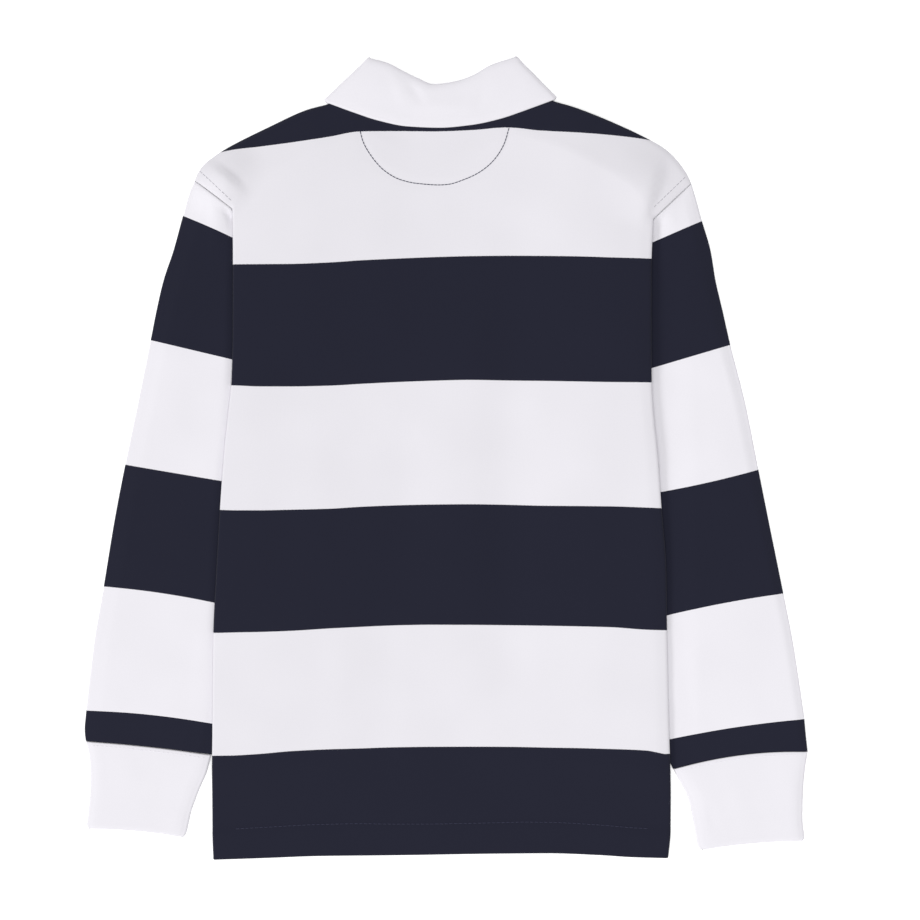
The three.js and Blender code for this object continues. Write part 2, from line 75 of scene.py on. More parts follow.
# %% [markdown]
# White cloth on a white table shows its folds only if some of the light comes from one side.
# Three lights do it: a wide one overhead, a little towards the hem, that keeps everything pale
# and lets round edges fall off, a weaker one from low on the left and the hem's side that draws
# the creases and the shadow beside the body, and a pale sky that leaves hollows darker. The low
# one is a sun, because a sun lights both sleeves alike. Where the real lamps stood isn't known.

# %% Lights
SKY_STRENGTH = 0.44
OVERHEAD = {"place": (0.0, -0.45, 2.4), "size": 2.2, "power": 42.6}
SLANTED = {"towards": (0.80, 0.38, -0.46), "strength": 1.35, "softness": 15.0}


def add_light(name, kind, place, towards):
    light = bpy.data.lights.new(name, kind)
    lamp = bpy.data.objects.new(name, light)
    lamp.location = place
    lamp.rotation_euler = Vector(towards).to_track_quat("-Z", "Y").to_euler()
    bpy.context.scene.collection.objects.link(lamp)
    return light


overhead = add_light("overhead_light", "AREA", OVERHEAD["place"], (0, 0, -1))
overhead.size = OVERHEAD["size"]
overhead.energy = OVERHEAD["power"]
slanted = add_light("slanted_light", "SUN", (-1.0, -0.4, 1.0), SLANTED["towards"])
slanted.angle = math.radians(SLANTED["softness"])
slanted.energy = SLANTED["strength"]
sky = bpy.data.worlds.new("sky")
sky.use_nodes = True
sky.node_tree.nodes["Background"].inputs["Color"].default_value = (1, 1, 1, 1)
sky.node_tree.nodes["Background"].inputs["Strength"].default_value = SKY_STRENGTH
bpy.context.scene.world = sky
bpy.context.scene.view_settings.view_transform = "Standard"
print("lights:", [item.name for item in bpy.data.lights])

# %% [markdown]
# Every finish is a small net of shader nodes. One helper adds a node, sets its sockets and joins
# it to what feeds it, so a material reads like a recipe.

# %% Node helper
def add_node(tree, kind, inputs=None, **settings):
    node = tree.nodes.new(kind)
    for name, value in settings.items():
        setattr(node, name, value)
    for socket, value in (inputs or {}).items():
        if isinstance(value, bpy.types.NodeSocket):
            tree.links.new(value, node.inputs[socket])
        else:
            node.inputs[socket].default_value = value
    return node


def calculate(tree, operation, first, second=0.0):
    return add_node(tree, "ShaderNodeMath", {0: first, 1: second}, operation=operation).outputs[0]


def new_finish(name, roughness, sheen):
    finish = bpy.data.materials.new(name)
    finish.use_nodes = True
    shader = finish.node_tree.nodes["Principled BSDF"]
    shader.inputs["Roughness"].default_value = roughness
    shader.inputs["Specular IOR Level"].default_value = 0.2
    shader.inputs["Sheen Weight"].default_value = sheen
    shader.inputs["Sheen Roughness"].default_value = 0.5
    return finish, finish.node_tree, shader


# %% [markdown]
# The table is a smooth white board that glows a little, like a light table for cut-outs, so the
# cloth throws hardly any shadow on it. It is only a stage.

# %% Floor
FLOOR_SIZE = 8.0
FLOOR_DROP = 0.2
FLOOR_GLOW = 0.28

floor_mesh = bpy.data.meshes.new("floor")
half = FLOOR_SIZE / 2
floor_mesh.from_pydata(
    [(-half, -half, 0), (half, -half, 0), (half, half, 0), (-half, half, 0)], [], [(0, 1, 2, 3)]
)
floor = bpy.data.objects.new("floor", floor_mesh)
floor.location.z = -FLOOR_DROP * MM
bpy.context.scene.collection.objects.link(floor)
board, board_tree, board_shader = new_finish("matt_board", 0.9, 0.0)
grain = add_node(board_tree, "ShaderNodeTexNoise", {"Scale": 40.0, "Detail": 3.0})
board_colour = add_node(
    board_tree,
    "ShaderNodeMix",
    {"Factor": grain.outputs["Fac"], "A": (0.95, 0.95, 0.95, 1), "B": (0.97, 0.97, 0.97, 1)},
    data_type="RGBA",
)
board_tree.links.new(board_colour.outputs["Result"], board_shader.inputs["Base Color"])
board_shader.inputs["Emission Color"].default_value = (1, 1, 1, 1)
board_shader.inputs["Emission Strength"].default_value = FLOOR_GLOW
floor_mesh.materials.append(board)
print("floor", FLOOR_SIZE, "m wide")

# %% [markdown]
# Jersey is a plain knit: columns of little V stitches, called wales, that lie in rows, called
# courses. On a rugby shirt the yarn changes colour after a number of courses, so a stripe's edge
# follows a course exactly. Each mesh carries a number called "course" that grows by one
# from stripe edge to stripe edge. Even numbers are navy and odd ones white, which keeps the edges
# crisp at any distance and needs no picture.
# A map called "knit" counts millimetres across and along the cloth and drives the V stitches.

# %% Jersey
WALE = 0.95
COURSE = 0.72
STITCH_DEPTH = 0.00010
WHITE = (0.711, 0.696, 0.738, 1)
BODY_SHARE = 0.970
SLEEVE_SHARE = 1.014
CUFF_SHARE = 1.010
COLLAR_SHARE = 1.030
NAVY = (0.0085, 0.0092, 0.0215, 1)


def knit_relief(tree):
    """Height of the knit from 0 to 1, and how far a wale's edge is, both from the knit map."""
    place = add_node(tree, "ShaderNodeUVMap", uv_map="knit").outputs["UV"]
    parts = add_node(tree, "ShaderNodeSeparateXYZ", {"Vector": place})
    across = calculate(tree, "MULTIPLY", parts.outputs["X"], math.pi / WALE)
    wale = calculate(tree, "ABSOLUTE", calculate(tree, "SINE", across))
    along = calculate(tree, "MULTIPLY", parts.outputs["Y"], 2 * math.pi / COURSE)
    slanted = calculate(tree, "ADD", along, calculate(tree, "MULTIPLY", wale, 2.4))
    loop = calculate(tree, "MULTIPLY", calculate(tree, "SINE", slanted), 0.2)
    return calculate(tree, "ADD", calculate(tree, "MULTIPLY", wale, 0.8), loop), wale, place


def tinted(share):
    """The white yarn times a share. The shares were set by trial, until the flat
    areas of body, sleeves, cuffs and collar were as light as in the photo under these lights."""
    return tuple(part * share for part in WHITE[:3]) + (1,)


def yarn_variation(tree, place, colour, spread):
    """The colour, lighter and darker by small shares: uneven yarn, and soft wide patches."""
    fine = add_node(tree, "ShaderNodeTexNoise", {"Vector": place, "Scale": 1.1, "Detail": 2.0})
    wide = add_node(tree, "ShaderNodeTexNoise", {"Vector": place, "Scale": 0.02, "Detail": 1.0})
    both = calculate(tree, "ADD", fine.outputs["Fac"], wide.outputs["Fac"])
    level = calculate(tree, "ADD", calculate(tree, "MULTIPLY", both, spread), 1 - spread)
    return add_node(tree, "ShaderNodeHueSaturation", {"Color": colour, "Value": level}).outputs[0]


def join_relief(tree, shader, height, depth, strength):
    bump = add_node(
        tree, "ShaderNodeBump", {"Height": height, "Distance": depth, "Strength": strength}
    )
    tree.links.new(bump.outputs["Normal"], shader.inputs["Normal"])


# %% Striped jersey and plain white jersey
STRIPE_TOOTH = 0.004
YARN_SPREAD = 0.05


def make_striped_jersey(name, white):
    finish, tree, shader = new_finish(name, 0.88, 0.12)
    height, wale, place = knit_relief(tree)
    course = add_node(tree, "ShaderNodeAttribute", attribute_name="course").outputs["Fac"]
    toothed = calculate(tree, "ADD", course, calculate(tree, "MULTIPLY", wale, STRIPE_TOOTH))
    stripe = calculate(tree, "PINGPONG", calculate(tree, "FLOOR", toothed), 1.0)
    yarn = add_node(
        tree, "ShaderNodeMix", {"Factor": stripe, "A": NAVY, "B": white}, data_type="RGBA"
    )
    colour = yarn_variation(tree, place, yarn.outputs["Result"], YARN_SPREAD)
    tree.links.new(colour, shader.inputs["Base Color"])
    join_relief(tree, shader, height, STITCH_DEPTH, 0.2)
    return finish


def make_white_jersey():
    finish, tree, shader = new_finish("white_jersey", 0.88, 0.12)
    height, _, place = knit_relief(tree)
    colour = yarn_variation(tree, place, tinted(CUFF_SHARE), YARN_SPREAD)
    tree.links.new(colour, shader.inputs["Base Color"])
    join_relief(tree, shader, height, STITCH_DEPTH, 0.2)
    return finish


body_jersey = make_striped_jersey("body_jersey", tinted(BODY_SHARE))
sleeve_jersey = make_striped_jersey("sleeve_jersey", tinted(SLEEVE_SHARE))
white_jersey = make_white_jersey()
print("jersey nodes:", len(body_jersey.node_tree.nodes))

# %% [markdown]
# The collar is a woven twill, smoother and crisper than the knit. Its weave shows as fine
# slanted ribs, so the relief is a sine wave across a slanted direction of the same map.
# Sewing thread is two-ply and a little glossier than cloth; its twist is a slanted wave as well.

# %% Twill and thread
TWILL_RIB = 0.62
TWILL_DEPTH = 0.00006
THREAD_NAVY = (0.026, 0.028, 0.060, 1)
THREAD_WHITE = (0.80, 0.78, 0.83, 1)
THREAD_TWIST = 2600.0


def make_white_twill():
    finish, tree, shader = new_finish("white_twill", 0.8, 0.12)
    place = add_node(tree, "ShaderNodeUVMap", uv_map="knit").outputs["UV"]
    parts = add_node(tree, "ShaderNodeSeparateXYZ", {"Vector": place})
    slanted = calculate(tree, "ADD", parts.outputs["X"], parts.outputs["Y"])
    rib = calculate(tree, "SINE", calculate(tree, "MULTIPLY", slanted, 2 * math.pi / TWILL_RIB))
    colour = yarn_variation(tree, place, tinted(COLLAR_SHARE), YARN_SPREAD)
    tree.links.new(colour, shader.inputs["Base Color"])
    join_relief(tree, shader, rib, TWILL_DEPTH, 0.25)
    return finish


def make_thread(name, colour):
    finish, tree, shader = new_finish(name, 0.6, 0.1)
    place = add_node(tree, "ShaderNodeTexCoord").outputs["Object"]
    parts = add_node(tree, "ShaderNodeSeparateXYZ", {"Vector": place})
    slanted = calculate(tree, "ADD", parts.outputs["X"], parts.outputs["Y"])
    ply = calculate(tree, "SINE", calculate(tree, "MULTIPLY", slanted, THREAD_TWIST * 2 * math.pi))
    tree.links.new(yarn_variation(tree, place, colour, YARN_SPREAD), shader.inputs["Base Color"])
    join_relief(tree, shader, ply, 0.00004, 0.3)
    return finish


white_twill = make_white_twill()
navy_thread = make_thread("navy_thread", THREAD_NAVY)
white_thread = make_thread("white_thread", THREAD_WHITE)
print("finishes:", [item.name for item in bpy.data.materials if item.use_nodes])

# %% [markdown]
# Cloth outlines are soft curves through a few measured places. Each table below has one row for a
# place and one named column for a size, and the curve between rows is a cubic that never
# swings past its points, so a short table gives a smooth edge.

# %% Reading tables
def column(table, name):
    return np.array([getattr(row, name) for row in table], float)


def smooth_curve(places, values, at):
    """A curve through the points that stays between neighbouring values."""
    step = np.diff(places)
    rise = np.diff(values) / step
    slope = np.empty(len(places))
    slope[0] = rise[0]
    slope[-1] = rise[-1]
    product = rise[:-1] * rise[1:]
    total = rise[:-1] + rise[1:]
    slope[1:-1] = np.where(product > 0, 2 * product / np.where(product > 0, total, 1), 0)
    at = np.clip(at, places[0], places[-1])
    k = np.clip(np.searchsorted(places, at) - 1, 0, len(step) - 1)
    t = (at - places[k]) / step[k]
    return (
        values[k] * (1 + 2 * t) * (1 - t) ** 2
        + slope[k] * step[k] * t * (1 - t) ** 2
        + values[k + 1] * t**2 * (3 - 2 * t)
        + slope[k + 1] * step[k] * t**2 * (t - 1)
    )


def smoothstep(value):
    t = np.clip(value, 0, 1)
    return t * t * (3 - 2 * t)


def fade(distance, flat, end):
    """One up to the flat distance, zero from the end distance on."""
    return 1 - smoothstep((distance - flat) / (end - flat))


ends = np.array([0.0, 1.0])
print("half way between 0 and 1:", float(smooth_curve(ends, ends, 0.5)))

# %% [markdown]
# Cloth has two faces. A grid of points gives the outer face, the inner face is the same
# grid moved in along its normals, and a slightly bulging rim closes the edges. That is a closed
# thin shell, the same recipe for a panel, a tube of a sleeve or a folded collar.

# %% Thin shells from grids
def grid_normals(points, wrap):
    if wrap:
        across = np.roll(points, -1, axis=1) - np.roll(points, 1, axis=1)
    else:
        across = np.gradient(points, axis=1)
    normals = np.cross(across, np.gradient(points, axis=0))
    return normals / np.linalg.norm(normals, axis=2, keepdims=True)


def rim_loops(rows, columns, wrap):
    """The open edges of a grid, as lists of (row, column), with the outer face on the left."""
    if wrap:
        first = [(0, c) for c in range(columns)]
        last = [(rows - 1, c) for c in reversed(range(columns))]
        return [first, last]
    loop = [(0, c) for c in range(columns - 1)]
    loop += [(r, columns - 1) for r in range(rows - 1)]
    loop += [(rows - 1, c) for c in range(columns - 1, 0, -1)]
    loop += [(r, 0) for r in range(rows - 1, 0, -1)]
    return [loop]


def rim_push(outer, r, c, wrap, bulge):
    """How far the middle of the rim stands out from the edge, as a vector."""
    rows, columns = outer.shape[:2]
    push = np.zeros(3)
    sides = [(r == 0, r + 1, c, bulge[0]), (r == rows - 1, r - 1, c, bulge[1])]
    if not wrap:
        sides += [(c == 0, r, c + 1, bulge[2]), (c == columns - 1, r, c - 1, bulge[2])]
    for on_edge, inner_r, inner_c, size in sides:
        if on_edge:
            away = outer[r, c] - outer[inner_r, inner_c]
            push += size * away / np.linalg.norm(away)
    return push


# %% Build a shell as a mesh
def cloth_shell(name, outer, thickness, knit, course=None, wrap=False, bulge=(0.4, 0.4, 0.12)):
    """outer: rows x columns x 3. knit: the same grid in millimetres across and along the cloth,
    with one column more where the grid wraps round. bulge: rim at first row, last row, sides."""
    rows, columns = outer.shape[:2]
    inner = outer - thickness * grid_normals(outer, wrap)
    points = [outer.reshape(-1, 3), inner.reshape(-1, 3)]
    number = np.arange(rows * columns).reshape(rows, columns)
    following = np.roll(number, -1, axis=1) if wrap else number[:, 1:]
    here = number if wrap else number[:, :-1]
    faces = np.stack([here[:-1], following[:-1], following[1:], here[1:]], axis=2).reshape(-1, 4)
    corners = [knit[:-1, :-1], knit[:-1, 1:], knit[1:, 1:], knit[1:, :-1]]
    uv = np.stack(corners, axis=2).reshape(-1, 4, 2)
    all_faces = [faces, faces[:, ::-1] + rows * columns]
    all_uv = [uv, uv[:, ::-1]]
    rim_rows = []
    start = 2 * rows * columns
    for loop in rim_loops(rows, columns, wrap):
        edge = [r * columns + c for r, c in loop]
        middle = [
            (outer[r, c] + inner[r, c]) / 2 + rim_push(outer, r, c, wrap, bulge) for r, c in loop
        ]
        points.append(np.array(middle))
        rim_rows += loop
        count = len(loop)
        for i in range(count):
            j = (i + 1) % count
            a, b = edge[i], edge[j]
            m, n = start + i, start + j
            below = [n, m, a + rows * columns, b + rows * columns]
            all_faces.append(np.array([[b, a, m, n], below]))
            corner_uv = [knit[loop[j]], knit[loop[i]]]
            quad = [corner_uv[0], corner_uv[1], corner_uv[1], corner_uv[0]]
            all_uv.append(np.array([quad, quad]))
        start += count
    mesh = bpy.data.meshes.new(name)
    mesh.from_pydata((np.concatenate(points) * MM).tolist(), [], np.concatenate(all_faces).tolist())
    layer = mesh.uv_layers.new(name="knit")
    layer.data.foreach_set("uv", np.concatenate(all_uv).ravel())
    if course is not None:
        rim_course = [course[place] for place in rim_rows]
        values = np.concatenate([course.ravel(), course.ravel(), rim_course])
        mesh.attributes.new("course", "FLOAT", "POINT").data.foreach_set("value", values)
    mesh.polygons.foreach_set("use_smooth", [True] * len(mesh.polygons))
    piece = bpy.data.objects.new(name, mesh)
    bpy.context.scene.collection.objects.link(piece)
    return piece


def dress(piece, finish, node):
    piece.data.materials.append(finish)
    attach(piece, "root")
    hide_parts(node)
    corners = np.array(piece.bound_box) / MM
    size = (corners.max(axis=0) - corners.min(axis=0)).round(1)
    print(piece.name, "faces:", len(piece.data.polygons), "size in mm:", size)


# %% [markdown]
# Laid cloth is never quite level. Two things shape it: folds that somebody's hands left, long and
# soft and no two alike, and a faint rumple everywhere. A fold is given with its length,
# width, turn and rise, and a negative rise makes a trough. The rumple is a sum of slow waves with
# a fixed seed, so it comes out the same each time.

# %% Folds and rumple
Fold = namedtuple("Fold", "x y long wide turn bend rise")
RUMPLE_WAVES = 14


def fold_height(x, y, folds):
    height = np.zeros_like(x)
    for fold in folds:
        turn = math.radians(fold.turn)
        dx = x - fold.x
        dy = y - fold.y
        along = (dx * math.sin(turn) + dy * math.cos(turn)) / (fold.long / 2)
        aside = (dx * math.cos(turn) - dy * math.sin(turn) - fold.bend * along**2) / (fold.wide / 2)
        height += fold.rise * (1 - smoothstep(abs(along))) * (1 - smoothstep(abs(aside)))
    return height


def rumple(x, y, seed, height, wavelength):
    random = np.random.default_rng(seed)
    total = np.zeros_like(x)
    for _ in range(RUMPLE_WAVES):
        angle = random.uniform(0, 2 * math.pi)
        length = wavelength * random.uniform(0.6, 1.7)
        phase = random.uniform(0, 2 * math.pi)
        total += np.sin(2 * math.pi * (x * math.cos(angle) + y * math.sin(angle)) / length + phase)
    return height * total / math.sqrt(RUMPLE_WAVES / 2)


# %% [markdown]
# The body is two panels, back and front, that share their side edges, armholes and shoulder line.
# The sides run from the hem straight up, a little narrower towards the chest, to the corner where
# the armhole starts, and from there out along the armhole seam to the shoulder point. The lift
# column says how far a panel's side is raised, because the sleeve is tucked under it.

# %% Outline of the body
Side = namedtuple("Side", "left_y left right right_y lift")
SIDES = [
    Side(-280.7, -163.1, 155.8, -279.6, 0.00),
    Side(-260.1, -163.8, 157.5, -260.1, 0.00),
    Side(-239.0, -163.8, 157.5, -239.0, 0.40),
    Side(-218.0, -163.8, 157.1, -218.0, 0.90),
    Side(-197.0, -163.6, 156.4, -197.0, 0.90),
    Side(-122.1, -162.8, 154.7, -122.1, 0.90),
    Side(-78.0, -160.6, 154.0, -78.0, 0.90),
    Side(-35.3, -158.2, 150.8, -35.3, 0.95),
    Side(3.1, -155.4, 148.0, 3.1, 1.00),
    Side(33.9, -152.2, 144.9, 33.9, 1.00),
    Side(54.9, -150.1, 143.8, 54.9, 1.00),
    Side(89.9, -149.2, 143.6, 89.9, 1.00),
    Side(131.9, -149.1, 143.6, 129.0, 1.00),
    Side(174.6, -149.4, 144.9, 167.6, 1.00),
    Side(185.1, -163.1, 158.9, 180.9, 0.55),
    Side(194.9, -176.0, 171.8, 193.0, 0.00),
]
ARMHOLE_ROW = 13

# %% [markdown]
# The top edge runs from shoulder point to shoulder point. The back's neck is shallow and the
# front's is cut lower; both are hidden by the collar. The hem swings by a few millimetres.

# %% Shoulders, necks and hem
Top = namedtuple("Top", "x back front")
SHOULDERS = [
    Top(-176.0, 194.9, 194.9),
    Top(-173.0, 201.3, 201.3),
    Top(-169.0, 206.3, 206.3),
    Top(-162.0, 211.9, 211.9),
    Top(-148.0, 220.5, 220.5),
    Top(-125.0, 231.8, 231.8),
    Top(-96.0, 244.7, 244.7),
    Top(-86.0, 247.2, 247.2),
    Top(-65.2, 252.6, 252.6),
    Top(-49.7, 247.0, 236.5),
    Top(-33.6, 242.1, 221.5),
    Top(-2.8, 237.2, 210.5),
    Top(28.0, 242.1, 221.5),
    Top(43.4, 247.0, 237.0),
    Top(59.6, 254.2, 254.2),
    Top(79.0, 249.2, 249.2),
    Top(90.0, 246.0, 246.0),
    Top(120.0, 234.2, 234.2),
    Top(144.0, 222.8, 222.8),
    Top(152.0, 218.1, 218.1),
    Top(159.0, 212.2, 212.2),
    Top(165.0, 205.0, 205.0),
    Top(169.0, 199.0, 199.0),
    Top(171.8, 193.0, 193.0),
]
Hem = namedtuple("Hem", "x y")
HEM = [
    Hem(-176.0, -280.7),
    Hem(-139.0, -279.6),
    Hem(-96.0, -278.1),
    Hem(-33.6, -277.5),
    Hem(43.4, -276.4),
    Hem(79.0, -276.2),
    Hem(120.0, -277.5),
    Hem(144.0, -278.9),
    Hem(171.8, -279.6),
]

# %% [markdown]
# The panel's grid blends these four edges into each other. Columns crowd together at the sides
# and rows at the shoulders, where the cloth rolls over into the seam.

# %% Plan of a panel
ROLL_STEPS = np.array([0, 0.08, 0.3, 0.7, 1.3, 2.0, 2.8, 4.0, 5.8])
CHEST = 313.0
NECK_CUT_FROM = 0.867


def spread(start, end, step):
    return np.linspace(start, end, max(2, round(abs(end - start) / step) + 1))


def read_side(name, left_y):
    """A column of the sides: curved up to the armhole corner, straight along the seam."""
    places = column(SIDES, "left_y")
    values = column(SIDES, name)
    corner = ARMHOLE_ROW + 1
    body = smooth_curve(places[:corner], values[:corner], left_y)
    seam = np.interp(left_y, places[corner - 1:], values[corner - 1:])
    return np.where(left_y <= places[ARMHOLE_ROW], body, seam)


def panel_plan(neck, step):
    """Grid of a panel: plan x and y, distances to the nearer side, top and hem, and side lift."""
    hem_y = SIDES[0].left_y
    tall = SIDES[-1].left_y - hem_y
    corner = (SIDES[ARMHOLE_ROW].left_y - hem_y) / tall
    middle = spread(ROLL_STEPS[-1], CHEST - ROLL_STEPS[-1], step)[1:-1]
    offsets = np.concatenate([ROLL_STEPS, middle, CHEST - ROLL_STEPS[::-1]])
    across = offsets / CHEST
    top_rows = 1 - ROLL_STEPS[::-1] / tall
    body_rows = spread(0, corner, step / tall)
    seam_rows = spread(corner, top_rows[0], step / tall)[1:-1]
    upwards = np.concatenate([[0, 0.6 / tall], body_rows[1:], seam_rows, top_rows])
    t, v = np.meshgrid(across, upwards)
    left_y = hem_y + tall * v
    left, right = read_side("left", left_y), read_side("right", left_y)
    right_y = read_side("right_y", left_y)
    first, last = SIDES[0], SIDES[-1]
    top_x = last.left + (last.right - last.left) * t
    top_y = smooth_curve(column(SHOULDERS, "x"), column(SHOULDERS, "back"), top_x)
    neck_y = smooth_curve(column(SHOULDERS, "x"), column(SHOULDERS, neck), top_x)
    bottom_y = smooth_curve(column(HEM, "x"), column(HEM, "y"), top_x)
    x = left + (right - left) * t
    side_y = left_y + (right_y - left_y) * t
    hem_line = first.left_y + (first.right_y - first.left_y) * t
    top_line = last.left_y + (last.right_y - last.left_y) * t
    y = bottom_y + (top_y - bottom_y) * v + side_y - (hem_line + (top_line - hem_line) * v)
    y -= (top_y - neck_y) * np.clip((v - NECK_CUT_FROM) / (1 - NECK_CUT_FROM), 0, 1)
    nearest = np.minimum(x - left, right - x)
    return {"x": x, "y": y, "nearest": nearest, "lift": read_side("lift", left_y),
            "below_top": (1 - v) * tall, "above_hem": v * tall}


BACK_STEP = 2.5

body = panel_plan("back", BACK_STEP)
print("back grid:", body["x"].shape, "chest in mm:", round(float(np.ptp(body["x"][100])), 1))

# %% [markdown]
# How high does each layer lie? The front panel is at the bottom. It lies on the table in the
# middle, climbs over the sleeve that is tucked under each side, and over the collar's front
# leaves and the placket. The back lies on it, one layer up, with its own folds and rumple, and
# bridges the same humps in wider, softer slopes.

# %% Heights of the layers
SIDE_LIFT = 3.15
LIFT_FLAT = 12
LIFT_END = 34
FRONT_LIFT = 1.6
NECK_LIFT = {"middle": -3, "flat": 86, "end": 104, "flat_y": 150, "end_y": 118}
PLACKET_LIFT = {"middle": -2.5, "flat": 18, "end": 33, "flat_y": 92, "end_y": 66}
BACK_LIFT_END = 145
BACK_NECK_LIFT = {"middle": -3, "flat": 86, "end": 152, "flat_y": 150, "end_y": 50}
BACK_PLACKET_LIFT = {"middle": -2.5, "flat": 18, "end": 84, "flat_y": 92, "end_y": 0}
LAYER = 1.6
JERSEY = 1.2
CREST_AT = 9.5
CREST = {"left": 0.2, "right": 0.9}
EDGE_RAISE = 1.3
RAISE_FROM = (-110.0, 10.0)


def lifted_by(plan, zone):
    aside = fade(abs(plan["x"] - zone["middle"]), zone["flat"], zone["end"])
    return aside * smoothstep((plan["y"] - zone["end_y"]) / (zone["flat_y"] - zone["end_y"]))


def front_level(plan):
    over_sleeve = SIDE_LIFT * plan["lift"] * fade(plan["nearest"], LIFT_FLAT, LIFT_END)
    over_neck = np.maximum(lifted_by(plan, NECK_LIFT), lifted_by(plan, PLACKET_LIFT))
    return over_sleeve + FRONT_LIFT * over_neck


def back_bridge(plan):
    on_left = plan["x"] < 0
    crest = np.where(on_left, CREST["left"], CREST["right"])
    low, high = RAISE_FROM
    raised = np.where(on_left, 0, EDGE_RAISE * smoothstep((plan["y"] - low) / (high - low)))
    height = SIDE_LIFT + raised + crest * smoothstep(plan["nearest"] / CREST_AT)
    over_sleeve = plan["lift"] * height * fade(plan["nearest"], CREST_AT, BACK_LIFT_END)
    level = (1 - lifted_by(plan, BACK_NECK_LIFT)) * (1 - lifted_by(plan, BACK_PLACKET_LIFT))
    return over_sleeve + FRONT_LIFT * (1 - level)


# %% [markdown]
# At the sides and along the shoulders the two panels roll towards each other and meet half way
# down, so the edge is round to the eye and its seam stays out of sight. The roll is a quarter of
# an ellipse, wider than it is tall. The two run into each other
# there by up to 0.4 mm, which is less than a pixel of the picture.

# %% Rolled edges
ROLL_WIDE = 2.6
BACK_ROLL_WIDE = {"left": 1.5, "right": 2.8}
BACK_ROLL = 1.25
FRONT_ROLL = 1.15
SEAM_ROLL = 0.44
SEAM_WIDE = 1.3
NECK_HALF = 66


def quarter_roll(distance, wide):
    """From one at the edge to zero where the roll ends."""
    inside = np.clip(1 - distance / wide, 0, 1)
    return 1 - np.sqrt(1 - inside**2)


def edge_roll(plan, side_wide):
    """The roll of a panel's edge. Along the armhole seam it is small and tight."""
    corner = SIDES[ARMHOLE_ROW].left_y - SIDES[0].left_y
    sewn = smoothstep((plan["above_hem"] - corner + 1) / 7)
    loose = quarter_roll(plan["nearest"], side_wide)
    tight = SEAM_ROLL * quarter_roll(plan["nearest"], SEAM_WIDE)
    side = loose + (tight - loose) * sewn
    off_neck = smoothstep((abs(plan["x"] + 3) - NECK_HALF) / 10)
    top = off_neck * quarter_roll(plan["below_top"], ROLL_WIDE)
    return np.maximum(side, top)


# %% [markdown]
# The spare cloth at an armhole has nowhere to go when the sleeve is laid down, so it stands up in
# a crease that crosses the seam. Such a crease is steep on one side and runs out slowly on the
# other. Body and sleeve both take their height from the list below, so the seam stays closed.

# %% Creases across the armholes
Crease = namedtuple("Crease", "x y long turn bend before steep tail share rise")
SHOULDER_CREASES = [
    Crease(-154.0, 196.0, 50, -50, -2.5, 34, 5.6, 32, 0.38, 7.8),
    Crease(-157.5, 171.0, 58, 4, 0.0, 12, 9.0, 12, 0.85, 0.5),
    Crease(143.8, 190.0, 64, 17, 1.0, 40, 6.2, 12, 0.9, 3.8),
]


def shoulder_height(x, y):
    """Sum of one-sided creases: before is the width of the rise, steep and tail of the fall."""
    height = np.zeros_like(x)
    for crease in SHOULDER_CREASES:
        turn = math.radians(crease.turn)
        dx = x - crease.x
        dy = y - crease.y
        along = (dx * math.sin(turn) + dy * math.cos(turn)) / (crease.long / 2)
        aside = dx * math.cos(turn) - dy * math.sin(turn) - crease.bend * along**2
        rise = smoothstep(1 + aside / crease.before)
        fall = crease.share * smoothstep(aside / crease.steep)
        fall += (1 - crease.share) * smoothstep(aside / crease.tail)
        height += crease.rise * rise * (1 - fall) * (1 - smoothstep(abs(along)))
    return height


# %% [markdown]
# The back's folds were placed against the photograph: broad upright waves that run down
# from the chest to the hem, no two alike.

# %% Folds of the back
BACK_FOLDS = [
    Fold(5, -10, 420, 78, 1, 5, 1.5),
    Fold(44, -30, 400, 56, 1, -3, -1.05),
    Fold(96, -60, 330, 66, -2, 5, 0.6),
    Fold(-72, -140, 190, 42, 2, 4, 0.68),
    Fold(-42, -150, 170, 36, 1, -3, -0.45),
    Fold(-112, -20, 330, 56, -3, -6, -0.52),
    Fold(-20, -205, 130, 60, -12, 4, 0.45),
    Fold(70, -215, 120, 50, 9, -4, 0.45),
]
HEM_FOLD = 21.0
HEM_RISE = 0.35
HEM_VALLEY = 0.25
VALLEY_WIDE = 1.6
PATCH_SEAM = {"x": -8.0, "y": 229.0, "wide": 51.8, "deep": 37.6}
PATCH_RISE = 0.15
PATCH_VALLEY = 0.22
BACK_RUMPLE = {"seed": 7, "height": 0.09, "wavelength": 46}


def hem_relief(above_hem):
    """The hem is turned up once: thicker below its stitch line, with a small valley at it."""
    turned = HEM_RISE * smoothstep((HEM_FOLD - above_hem) / 1.5)
    return turned - HEM_VALLEY * np.exp(-((above_hem - HEM_FOLD) / VALLEY_WIDE) ** 2)


def patch_relief(x, y):
    """A half moon of cloth is sewn inside below the collar and pulls the back in at its seam."""
    aside = (x - PATCH_SEAM["x"]) / PATCH_SEAM["wide"]
    down = (y - PATCH_SEAM["y"]) / PATCH_SEAM["deep"]
    off_seam = (np.hypot(aside, down) - 1) * PATCH_SEAM["deep"]
    valley = PATCH_VALLEY * np.exp(-((off_seam / VALLEY_WIDE) ** 2))
    return PATCH_RISE * smoothstep(-off_seam / 3) - valley


def back_level(plan):
    level = back_bridge(plan) + LAYER + JERSEY
    level += fold_height(plan["x"], plan["y"], BACK_FOLDS)
    level += shoulder_height(plan["x"], plan["y"])
    level += rumple(plan["x"], plan["y"], **BACK_RUMPLE)
    level += hem_relief(plan["above_hem"]) + patch_relief(plan["x"], plan["y"])
    wide = np.where(plan["x"] < 0, BACK_ROLL_WIDE["left"], BACK_ROLL_WIDE["right"])
    return level - BACK_ROLL * edge_roll(plan, wide)


# %% [markdown]
# Stripes of the body. Each row is a place across the shirt, each column the height of one stripe
# edge there. The edges sag a little to both sides, as they do on the real shirt.

